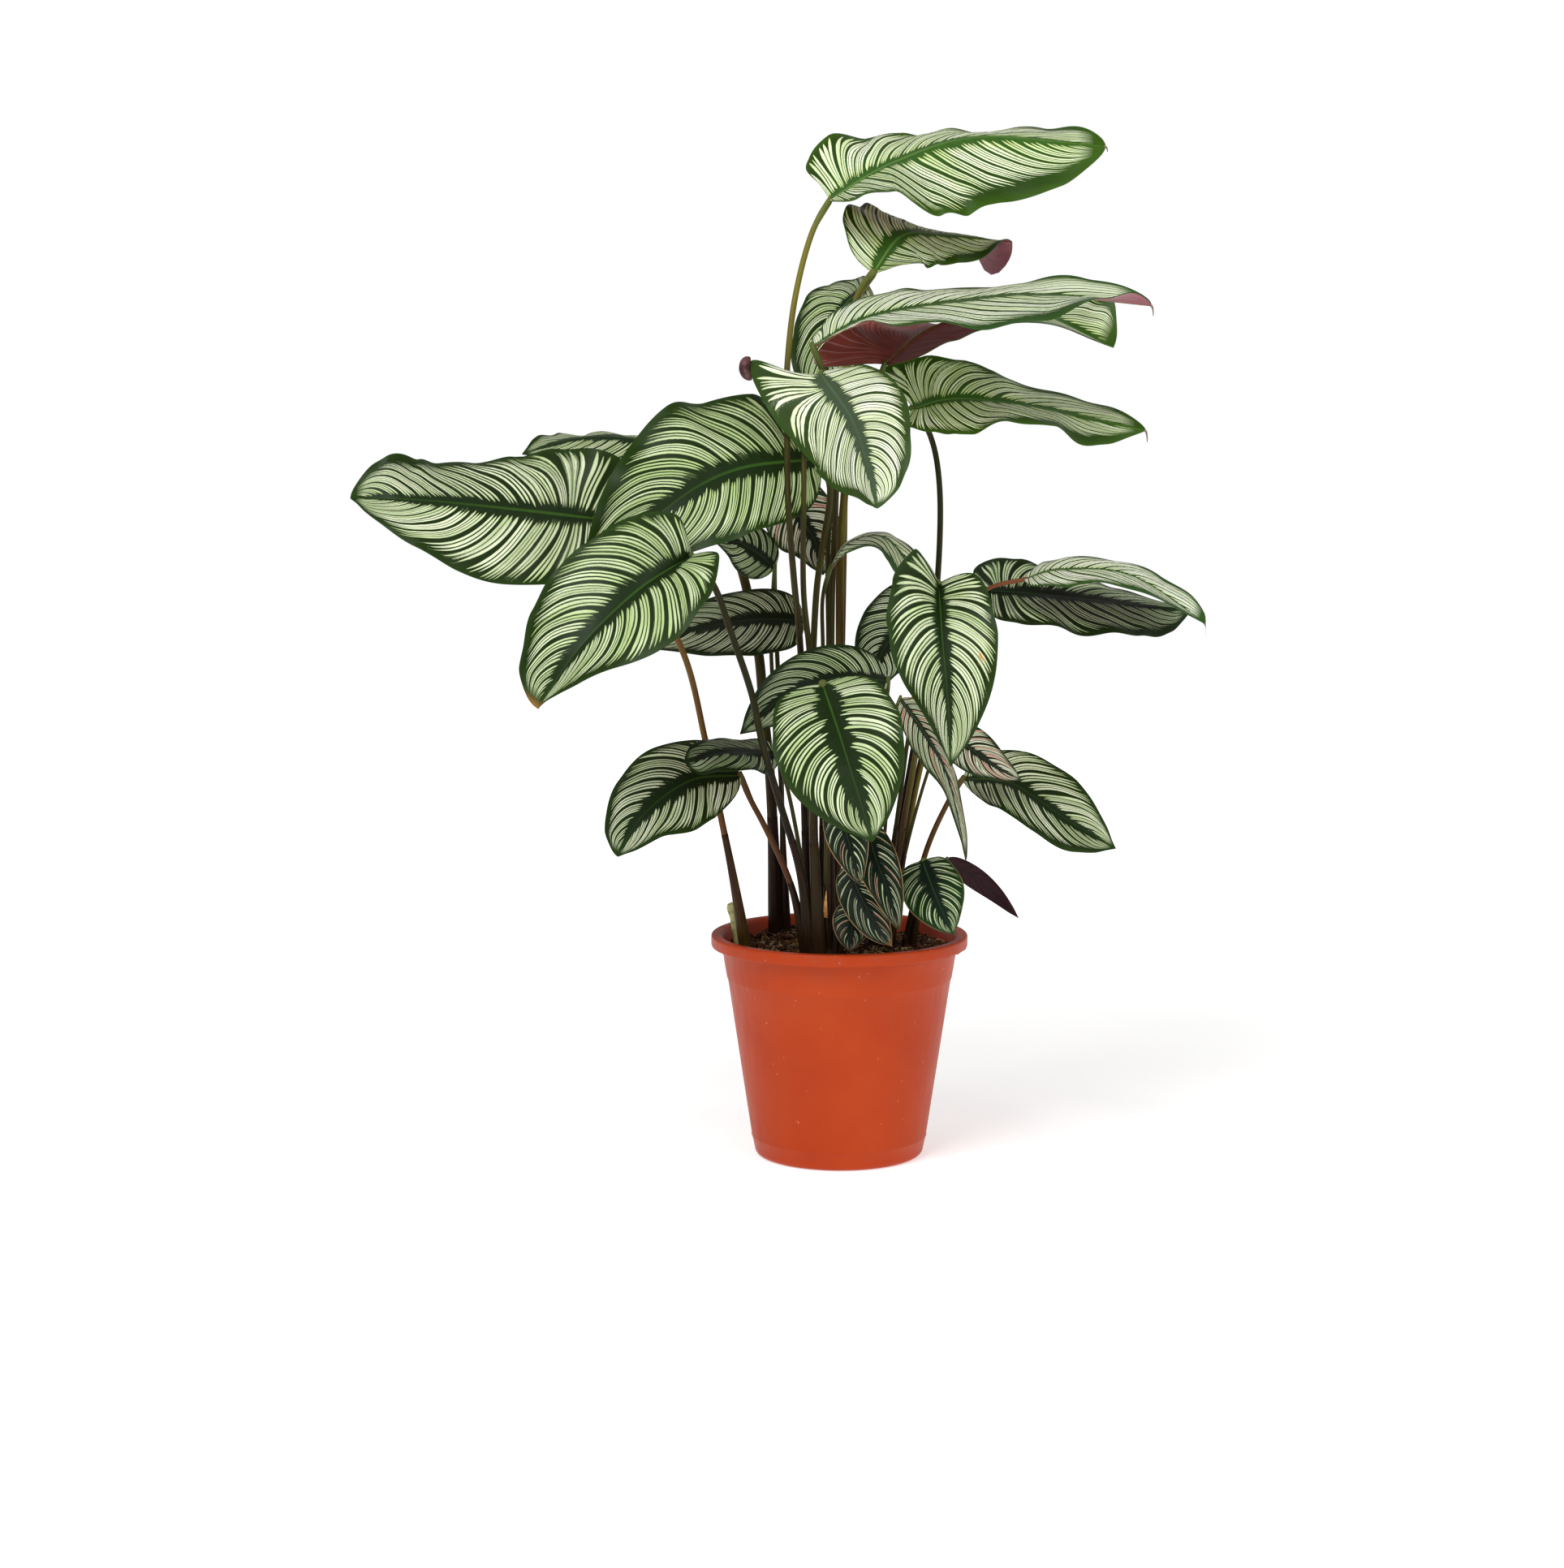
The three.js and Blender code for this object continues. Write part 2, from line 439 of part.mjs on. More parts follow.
// The largest body, where a cut has left crumbs and slivers beside it
function mainBody(solid) {
  const { vertProperties, triVerts, numProp } = solid.getMesh();
  const snapped = new THREE.BufferGeometry();
  const positions = [...vertProperties].map((value) => Math.round(value / SNAP) * SNAP);
  snapped.setAttribute("position", new THREE.Float32BufferAttribute(positions, numProp));
  snapped.setIndex([...triVerts]);
  return toSolid(snapped).simplify(SNAP).decompose()
    .reduce((best, body) => (body.volume() > best.volume() ? body : best));
}

function toMesh(name, solid, colour, roughness = 0.6) {
  const { vertProperties, triVerts, numProp } = solid.getMesh();
  const geometry = new THREE.BufferGeometry();
  const positions = [];
  for (let i = 0; i < vertProperties.length; i += numProp) {
    positions.push(vertProperties[i], vertProperties[i + 1], vertProperties[i + 2]);
  }
  geometry.setAttribute("position", new THREE.Float32BufferAttribute(positions, 3));
  geometry.setIndex([...triVerts]);
  geometry.computeVertexNormals();
  const material = new THREE.MeshStandardMaterial({ color: colour, roughness, metalness: 0 });
  const mesh = new THREE.Mesh(geometry, material);
  mesh.name = name;
  return mesh;
}

// Pot: a tapered shell with a thick rim band, a slight shoulder and a rounded foot
function wallRadius(z) {
  return BASE_R + (RIM_R - LIP_OUT - BASE_R) * (z / POT_H);
}

function potSolid() {
  const bandLow = POT_H - RIM_BAND_H;
  const shoulder = POT_H - SHOULDER_DROP;
  const outline = [
    [0, 0],
    [wallRadius(0) - FOOT_ROUND, 0],
    [wallRadius(0) - FOOT_ROUND * 0.3, FOOT_ROUND * 0.3],
    [wallRadius(0), FOOT_ROUND],
    [wallRadius(FOOT_H), FOOT_H],
    [wallRadius(shoulder), shoulder],
    [wallRadius(shoulder) + SHOULDER_STEP, shoulder + SHOULDER_STEP],
    [wallRadius(bandLow) + SHOULDER_STEP, bandLow],
    [RIM_R - 1, bandLow],
    [RIM_R, bandLow + 1],
    [RIM_R, POT_H - 1.5],
    [RIM_R - 1.5, POT_H],
    [RIM_R - LIP_OUT, POT_H],
    [wallRadius(POT_H - 3) - WALL, POT_H - 3],
    [wallRadius(FLOOR_T) - WALL, FLOOR_T],
    [0, FLOOR_T],
  ].map(([r, z]) => new THREE.Vector2(r, z));
  const shell = new THREE.LatheGeometry(outline, POT_SIDES).rotateX(Math.PI / 2);
  let pot = toSolid(shell);
  for (let k = 0; k < DRAIN_COUNT; k += 1) {
    const angle = (2 * Math.PI * k) / DRAIN_COUNT;
    const hole = new THREE.CylinderGeometry(DRAIN_R, DRAIN_R, 4 * FLOOR_T, 8)
      .rotateX(Math.PI / 2)
      .translate(DRAIN_RING_R * Math.cos(angle), DRAIN_RING_R * Math.sin(angle), 0);
    pot = pot.subtract(toSolid(hole));
  }
  return pot;
}

// Soil: fills the pot, with a lumpy top raised by a formula and a low mound behind
function soilTop(x, y) {
  const lumps = Math.sin(x / 5.3 + 1) * Math.sin(y / 4.7) + 0.6 * Math.sin((x + 2 * y) / 9.1);
  const away = Math.hypot(x - MOUND.x, y - MOUND.y) / MOUND.spread;
  return POT_H - SOIL_BELOW_RIM + LUMP_H * lumps * 0.6 + MOUND.height * Math.exp(-away * away);
}

function soilSolid() {
  const facetShare = Math.cos(Math.PI / POT_SIDES);
  const inner = (z) => (wallRadius(z) - WALL) * facetShare - SOIL_GAP;
  const low = FLOOR_T + SOIL_GAP;
  const edge = POT_H - SOIL_BELOW_RIM - 2;
  const positions = [0, 0, low, 0, 0, soilTop(0, 0)];
  const faces = [];
  const ringStart = (ring) => 2 + ring * SOIL_SIDES;
  for (let ring = 0; ring <= SOIL_RINGS; ring += 1) {
    for (let k = 0; k < SOIL_SIDES; k += 1) {
      const angle = (2 * Math.PI * (k + 0.5 * (ring % 2))) / SOIL_SIDES;
      const outer = ring >= SOIL_RINGS - 1;
      const z = ring === SOIL_RINGS ? low : edge;
      const r = outer ? inner(z) : inner(edge) * ((ring + 1) / SOIL_RINGS);
      const [x, y] = [r * Math.cos(angle), r * Math.sin(angle)];
      positions.push(x, y, outer ? z : soilTop(x, y));
    }
  }
  for (let k = 0; k < SOIL_SIDES; k += 1) {
    const next = (k + 1) % SOIL_SIDES;
    faces.push([1, ringStart(0) + k, ringStart(0) + next]);
    for (let ring = 0; ring < SOIL_RINGS; ring += 1) {
      const [a, b] = [ringStart(ring) + k, ringStart(ring) + next];
      const [c, d] = [ringStart(ring + 1) + k, ringStart(ring + 1) + next];
      faces.push(...(ring % 2 ? [[a, c, d], [a, d, b]] : [[a, c, b], [b, c, d]]));
    }
    faces.push([0, ringStart(SOIL_RINGS) + next, ringStart(SOIL_RINGS) + k]);
  }
  const geometry = new THREE.BufferGeometry();
  geometry.setAttribute("position", new THREE.Float32BufferAttribute(positions, 3));
  geometry.setIndex(faces.flat());
  return toSolid(geometry);
}

// A stem runs straight on from its route into the base of its leaf
function nestStep(stem, leaf) {
  return new THREE.Vector3(...leaf.rib[0]).sub(new THREE.Vector3(...stem.route.at(-1)))
    .normalize();
}

function stemRoute(stem) {
  const leaf = LEAVES.find(({ name }) => name === stem.leaf);
  if (!leaf) {
    return stem.route;
  }
  const start = new THREE.Vector3(...leaf.rib[0]);
  const end = start.clone().addScaledVector(nestStep(stem, leaf), NEST);
  return [...stem.route, start.toArray(), end.toArray()];
}

// A blade with a notch for its stem: clear of it all round, and wider past its end
function notched(blade, leaf, stem) {
  const route = stemRoute(stem);
  const around = toSolid(stemGeometry(route, stem.r + FIT_GAP));
  const end = new THREE.Vector3(...route.at(-1));
  const pocket = [-1, 0, 1].map(
    (step) => end.clone().addScaledVector(nestStep(stem, leaf), step * FIT_GAP).toArray());
  const past = toSolid(stemGeometry(pocket, (stem.r + FIT_GAP) * POCKET_WIDER));
  return mainBody(blade.subtract(around.add(past)));
}

// Assembly
const part = new THREE.Group();
part.name = "potted_star_calathea";

const stems = SHOOTS.flatMap((shoot) => shoot.stems);
part.add(toMesh("pot", potSolid(), POT_ORANGE, 0.45));
const soil = SHOOTS.reduce(
  (body, { crown }) => body.subtract(crownSolid(crown, FIT_GAP)), soilSolid());
part.add(toMesh("soil", mainBody(soil), SOIL_BROWN, 0.95));
for (const leaf of LEAVES) {
  const stem = stems.find((candidate) => candidate.leaf === leaf.name);
  const blade = notched(toSolid(bladeGeometry(leaf)), leaf, stem);
  part.add(toMesh(leaf.name, blade, leaf.colour, 0.4));
}
for (const shoot of SHOOTS) {
  const tubes = shoot.stems.map((stem) => toSolid(stemGeometry(stemRoute(stem), stem.r)));
  const body = tubes.reduce((whole, tube) => whole.add(tube), crownSolid(shoot.crown, 0));
  part.add(toMesh(shoot.name, mainBody(body), STEM_BROWN, 0.6));
}

export default part;
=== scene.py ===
import json
import math

import bmesh
import bpy
import numpy as np
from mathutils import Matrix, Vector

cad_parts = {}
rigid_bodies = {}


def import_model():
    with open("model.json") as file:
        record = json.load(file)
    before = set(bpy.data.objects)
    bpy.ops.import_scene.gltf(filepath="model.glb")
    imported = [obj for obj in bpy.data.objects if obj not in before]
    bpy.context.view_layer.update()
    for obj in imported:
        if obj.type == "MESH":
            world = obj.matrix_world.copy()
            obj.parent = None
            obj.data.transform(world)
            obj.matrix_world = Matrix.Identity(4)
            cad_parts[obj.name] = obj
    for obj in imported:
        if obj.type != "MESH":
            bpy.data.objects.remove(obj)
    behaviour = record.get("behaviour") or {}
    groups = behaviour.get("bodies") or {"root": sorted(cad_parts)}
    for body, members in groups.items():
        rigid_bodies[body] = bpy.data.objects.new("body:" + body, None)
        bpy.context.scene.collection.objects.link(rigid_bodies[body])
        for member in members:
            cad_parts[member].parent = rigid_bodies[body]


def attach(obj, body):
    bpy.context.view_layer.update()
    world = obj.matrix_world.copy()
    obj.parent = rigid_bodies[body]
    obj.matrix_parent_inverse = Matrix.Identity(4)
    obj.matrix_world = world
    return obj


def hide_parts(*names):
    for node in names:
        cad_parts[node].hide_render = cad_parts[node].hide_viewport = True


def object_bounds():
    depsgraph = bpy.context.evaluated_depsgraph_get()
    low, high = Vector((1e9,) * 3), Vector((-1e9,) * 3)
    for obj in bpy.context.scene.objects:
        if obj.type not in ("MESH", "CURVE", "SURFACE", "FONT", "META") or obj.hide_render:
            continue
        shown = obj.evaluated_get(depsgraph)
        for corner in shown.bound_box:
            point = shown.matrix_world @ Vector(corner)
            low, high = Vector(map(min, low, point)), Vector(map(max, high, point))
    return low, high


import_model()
CAD_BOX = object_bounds()

MM = 0.001
BOX_LOW, BOX_HIGH = (np.array(corner) / MM for corner in CAD_BOX)

# Blades. The fine sheet is a little thinner than the part's. The values from SKEW to FLAT are
# what a leaf has where its row gives nothing.
BLADE_T, KEEL_T, LOBE_SPAN, RIB_SPREAD, DRIP_TIP = 0.7, 2.2, 0.3, 1.5, 0.25
SKEW, FULLNESS, LOBE, BEND = 0.72, 0.8, 0.03, 20
FLAT = [0, 0, 0]
LARGE_HALF, LARGE_ROWS, SMALL_ROWS = 37, 110, 64
TOWARD = np.array([0, -1, 0.16]) / np.linalg.norm([0, -1, 0.16])

# Veins: how far they sweep forward, and the height of pleats, ripples and the rib's groove
VEIN_SWEEP, PLEAT_H, RIPPLE_H, RIB_GROOVE = 0.33, 0.3, 0.7, 0.35

# Stems: sides, distance between rings, their usual tone, how deep they run into the leaf,
# where the neck begins to swell and is full before the leaf and by what share, and the
# sheath's length (a share of the stem, at most so long, and the stretch in the soil)
STEM_SIDES, STEM_STEP, STEM_TONE, NEST = 14, 5, 0.15, 3
NECK_FROM, NECK_FULL, NECK_SWELL = 24, 18, 0.16
SHEATH_SHARE, SHEATH_MAX, SHEATH_SUNK = 0.34, 95, 15

# Camera of the photograph, in metres and in its pixels
EYE, TILT = (-0.047, -2.5, 0.62), 0.125
FOCAL_PX, PHOTO_H_PX, SENSOR_MM = 3811, 1932, 36

# Pot and soil, as in the part
RIM_R, POT_H, BASE_R, RIM_BAND_H, LIP_OUT = 105, 183, 69.5, 9, 8
SHOULDER_DROP, SHOULDER_STEP, FOOT_H, FOOT_ROUND, WALL, FLOOR_T = 36, 0.8, 16, 5, 2, 3
DRAIN_COUNT, DRAIN_R, DRAIN_RING_R = 4, 6, 46
SOIL_TOP, SOIL_GAP, LUMP_H = POT_H - 13, 0.3, 2.2
MOUND_X, MOUND_Y, MOUND_H, MOUND_SPREAD = -35, 45, 6, 28
POT_SIDES, DRAIN_SIDES, SOIL_SIDES, SOIL_RINGS = 144, 32, 150, 70
CRUMB_REACH, FIBRE_REACH = 91, 88

# Each blade: its midrib, half width, how far the halves turn toward the front, lobes and
# waves as in the part; then its finish, the groups of pale stripes on a half, the half
# width of the dark centre (share of the half) and how white the stripes are. The dark and
# inner finishes are painted shade, and the front upper leaf's finish carries a painted sheen.
# Some have a hook (drop of the dried tip), spots (place along, place across and reach of
# blemishes) or a dry_tip (share of the leaf).
# The shapes of 21 leaves weren't chosen by hand. A least-squares fit to outline points that
# were read from the photograph gave them.
LEAVES = [
    dict(node="leaf_crown", rib=[[-9, 0, 774], [41, -5, 803], [108, -5, 823], [210, 0, 816]],
         half=[69.2, 72.4], skew=[0.89, 0.93], left=[-28, -29, -48, -58, -64, -68, -60, -34],
         right=[77, 74, 66, 37, 30, 24, 12, -2], lobe=[0.14, 0.06], full=[0.48, 0.57], bend=12,
         wave=[2.2, 5, 0.5], hook=4, finish="bright", groups=21, centre=0.05, paleness=0.5),
    dict(node="leaf_upper_rolled",
         rib=[[25, -20, 716], [49, 0, 746], [84, 20, 748], [139, 35, 743]], half=[62.2, 36.9],
         skew=[1.21, 1.12], left=[-5, 9, -6, -37, -57, -66, -71, -73, -195],
         right=[-30, -26, 13, 40, 45, 34, 106], lobe=[0, -0.03], full=[0.4, 0.8], bend=12,
         finish="bright", groups=17, centre=0.07, paleness=0.3),
    dict(node="leaf_upper_long",
         rib=[[-23, -58, 658], [18, -64, 679], [71, -68, 690], [147, -62, 698], [243, -45, 690]],
         half=[51.1, 63.4], skew=[0.84, 1.48], left=[-66, -57, -54, -56, -59, -65, -62, -44, -20],
         right=[74, 78, 79, 72, 71, 63, 66, 83, 120], lobe=[0.11, -0.06], full=[0.48, 0.72],
         bend=12, wave=[1.8, 5, 0], hook=8, finish="pale", groups=21, centre=0.045, paleness=0.6),
    dict(node="leaf_upper_twisted",
         rib=[[34, -30, 644], [77, -12, 675], [147, 0, 688], [219, 5, 658]], half=[55.2, 49.3],
         skew=[1.5, 0.61], left=[124, 128, 126, 119, 108, 92, 60, 5],
         right=[-164, -141, -109, -92, -76, -74, -81, -78], lobe=[0.03, 0.34], full=[0.4, 1.3],
         bend=10, finish="turned", groups=15, centre=0.06, paleness=0.5),
    dict(node="leaf_upper_back", rib=[[23, 75, 708], [5, 80, 694], [-6, 85, 665], [-16, 80, 606]],
         half=[42, 47.6], skew=[0.95, 0.92], right=[-57, -57, -48, -36, -29, -16, -3],
         lobe=[0.03, 0.12], full=[0.8, 0.66], finish="green", groups=18, centre=0.07,
         paleness=0.3),
    dict(node="leaf_front_upper",
         rib=[[-17, -60, 637], [6, -110, 603], [17, -150, 570], [24, -175, 536]],
         half=[46.3, 51.8], skew=[0.89, 0.65], left=[0, 18, 30, 36, 35, 26, 7],
         right=[8, -21, -35, -44, -51, -59, -67], lobe=[0.01, 0.47], full=[0.61, 0.86], bend=14,
         finish="painted_sheen", groups=21, centre=0.08, paleness=0.7),
    dict(node="leaf_right_upper",
         rib=[[57, -10, 609], [92, -15, 617], [153, -15, 611], [245, 0, 592]], half=[51.3, 54.8],
         skew=[0.89, 0.81], left=[-5, -21, -34, -45, -55, -52, -36],
         right=[66, 63, 56, 59, 72, 68, 28, -9], lobe=[0.28, 0.16], full=[0.56, 0.79], bend=14,
         wave=[0.8, 6, 2], hook=9, finish="bright", groups=21, centre=0.06, paleness=0.4),
    dict(node="leaf_big_left",
         rib=[[-18, -40, 570], [-84, -75, 562], [-138, -100, 532], [-200, -110, 474]],
         half=[60.3, 74], skew=[0.77, 0.6], left=[14, 25, 31, 25, 17, 12],
         right=[-34, -20, -21, -3, -6, 3, 20, 40], lobe=[0.06, 0.11], full=[0.94, 0.69],
         bend=[10, 20], finish="green", groups=22, centre=0.09, paleness=0.05),
    dict(node="leaf_lower_left",
         rib=[[-116, -140, 499], [-157, -170, 473], [-197, -190, 434], [-230, -195, 387]],
         half=[59.8, 57.4], skew=[0.7, 0.99], left=[74, 54, 42, 41, 49, 56],
         right=[48, 21, 1, -7, -17, -25, -20], lobe=[0.13, 0.1], full=[1.13, 0.4], finish="green",
         groups=19, centre=0.09, paleness=0.2, dry_tip=0.03),
    dict(node="leaf_far_left",
         rib=[[-195, -20, 522], [-267, -35, 531], [-334, -50, 538], [-389, -40, 539]],
         half=[62.9, 64.8], skew=[0.6, 0.77], left=[36, 25, 20, 21, 32, 41, 47],
         right=[3, -14, -32, -42, -44, -36, -11, 7], lobe=[0.07, 0.22], full=[0.86, 0.55],
         finish="green", groups=20, centre=0.065, paleness=0.45),
    dict(node="leaf_left_back",
         rib=[[-124, 90, 570], [-169, 85, 584], [-214, 75, 585], [-261, 60, 572]],
         half=[40, 47.3], skew=[0.72, 0.87], left=[40, 50, 40],
         right=[-63, -66, -70, -73, -69, -74, -61, -43, -29], lobe=[0.03, 0.02], full=[0.8, 0.92],
         wave=[1.5, 6, 0], finish="green", groups=18, centre=0.1, paleness=0.3),
    dict(node="leaf_middle_left_dark",
         rib=[[-53, 50, 479], [-69, 45, 492], [-86, 40, 501], [-106, 30, 506]], half=24,
         left=[30, 30, 30], right=[-20, -20, -20], finish="dark", groups=11, centre=0.12,
         paleness=0.2),
    dict(node="leaf_middle_left",
         rib=[[-29, 30, 437], [-72, 25, 438], [-118, 20, 430], [-163, 12, 418]], half=[40, 34],
         left=[45, 50, 45], right=[-20, -30, -30], lobe=0.06, finish="dark", groups=16,
         centre=0.11, paleness=0.6),
    dict(node="leaf_middle_hanging",
         rib=[[-49, 60, 552], [-33, 58, 522], [-19, 54, 499], [-13, 50, 473]], half=30,
         finish="pink", groups=12, centre=0.12, paleness=0.7),
    dict(node="leaf_middle_arch",
         rib=[[-8, -14, 483], [7, -22, 503], [35, -26, 507], [59, -20, 480]], half=[26.2, 32.7],
         skew=[1.15, 1.5], left=[-79, -76, -69, -62, -32], right=[86, 81, 79, 72, 55],
         lobe=[0.01, -0.06], full=[0.4, 0.42], finish="pale", groups=12, centre=0.05,
         paleness=0.5),
    dict(node="leaf_front_right",
         rib=[[74, -110, 476], [75, -145, 438], [79, -160, 392], [82, -150, 338]],
         half=[43.7, 49.9], skew=[0.69, 0.47], left=[39, 32, 27, 20, 11, 3],
         right=[74, 51, 38, 18, 1, -12, -24], lobe=[0.09, 0.13], full=[0.8, 1.02], finish="green",
         groups=17, centre=0.08, paleness=0.4, spots=[0.5, 0.68, 0.1]),
    dict(node="leaf_right_pale",
         rib=[[145, -45, 475], [174, -50, 483], [230, -50, 478], [291, -35, 439]],
         half=[35.3, 31.4], skew=[0.9, 0.81], left=[-68, -63, -58, -59, -53, -26],
         right=[78, 72, 69, 74, 69, 69, 76], lobe=0.06, full=[0.4, 0.85], hook=9, finish="pale",
         groups=17, centre=0.03, paleness=0.65),
    dict(node="leaf_right_dark",
         rib=[[117, -10, 464], [172, -5, 460], [230, 0, 453], [284, 10, 447]], half=[45, 47.2],
         skew=[0.95, 0.81], left=[0, -22, -42, -51, -58, -61, -64],
         right=[49, 58, 62, 56, 60, 53, 36, 18], lobe=[0.19, 0.09], full=[1.11, 0.56],
         wave=[0.8, 4, 0], finish="dark", groups=17, centre=0.08, paleness=0.35),
    dict(node="leaf_behind_right",
         rib=[[67, -10, 463], [47, -15, 435], [31, -15, 409], [28, -10, 382]], half=[34, 30.6],
         skew=[0.72, 0.71], right=[15, 6, -3, -15, -27], lobe=[0.06, 0.07], full=[0.8, 0.94],
         finish="inner", groups=16, centre=0.12, paleness=0.6),
    dict(node="leaf_front_low",
         rib=[[-16, -150, 401], [-4, -190, 368], [7, -210, 334], [21, -205, 288]],
         half=[49.3, 54], skew=[0.76, 0.82], left=[17, 25, 27, 17, 6], right=[23, 27, 24, 8, -12],
         lobe=[0.05, 0.07], full=0.75, finish="green", groups=16, centre=0.12, paleness=0.3),
    dict(node="leaf_behind_low",
         rib=[[37, -60, 396], [-5, -75, 399], [-46, -88, 385], [-80, -95, 357]], half=28,
         finish="dark", groups=14, centre=0.12, paleness=0.3),
    dict(node="leaf_low_left",
         rib=[[-80, -50, 319], [-119, -75, 318], [-155, -95, 294], [-176, -100, 261]],
         half=[40.2, 46.8], skew=[0.88, 0.89], left=[29, 30, 33, 46, 50],
         right=[-31, -31, -25, -29, -36, -29], lobe=[0.02, 0.08], full=[0.81, 0.49],
         wave=[0.8, 3, 0], finish="green", groups=15, centre=0.11, paleness=0.5),
    dict(node="leaf_low_left_rolled",
         rib=[[-50, -50, 335], [-72, -72, 340], [-96, -92, 342], [-123, -100, 336]],
         half=[24.4, 28], skew=[1.08, 0.99], left=[25, 47, 61, 55, 22],
         right=[-39, -55, -56, -46, -31], lobe=[-0.02, 0.1], full=[0.4, 0.59], finish="dark",
         groups=12, centre=0.12, paleness=0.2),
    dict(node="leaf_low_right",
         rib=[[100, 0, 310], [139, -15, 308], [181, -30, 281], [222, -35, 258]],
         half=[39.2, 39.5], skew=[0.88, 0.96], left=[-31, -29, -25, -17, -7, 1],
         right=[49, 52, 60, 59, 45, 33], lobe=[0.09, 0], full=[0.96, 0.82], wave=[0.8, 3, 0],
         finish="green", groups=15, centre=0.1, paleness=0.5),
    dict(node="leaf_pink_right",
         rib=[[84, -45, 352], [100, -50, 343], [120, -55, 329], [144, -50, 315]], half=18,
         finish="pink", groups=11, centre=0.084, paleness=0.6),
    dict(node="leaf_pink_hanging",
         rib=[[45, -95, 385], [64, -105, 359], [82, -110, 324], [97, -105, 259]],
         half=[24.5, 15.4], skew=[0.86, 0.8], left=[-27, -43, -58, -60, -47],
         right=[-35, -7, 23, 60, 90], lobe=[0.03, 0.05], full=[0.65, 1], finish="pink", groups=16,
         centre=0.06, paleness=0.3),
    dict(node="leaf_young_front",
         rib=[[-5, -90, 305], [2, -100, 284], [8, -108, 263], [14, -110, 240]], half=17,
         finish="young", groups=11, centre=0.108, paleness=0.5),
    dict(node="leaf_young_middle",
         rib=[[20, -75, 284], [26, -90, 261], [36, -101, 234], [45, -107, 203]], half=17,
         finish="young", groups=11, centre=0.12, paleness=0.5),
    dict(node="leaf_young_low",
         rib=[[6, -45, 247], [14, -60, 226], [27, -75, 203], [40, -85, 187]], half=17,
         finish="young", groups=11, centre=0.12, paleness=0.45, dry_tip=0.06),
    dict(node="leaf_young_behind",
         rib=[[16, -44, 214], [11, -52, 204], [8, -59, 192], [7, -64, 179]], half=17,
         finish="young", groups=10, centre=0.12, paleness=0.4),
    dict(node="leaf_young_right",
         rib=[[65, -60, 252], [71, -80, 236], [79, -92, 217], [88, -95, 198]], half=25, lobe=0.1,
         finish="young_green", groups=12, centre=0.144, paleness=0.55),
    dict(node="leaf_young_purple",
         rib=[[86, -10, 245], [107, 0, 231], [127, 5, 215], [147, 0, 195]], half=9,
         finish="purple", groups=10, centre=0.09, paleness=0.2),
]

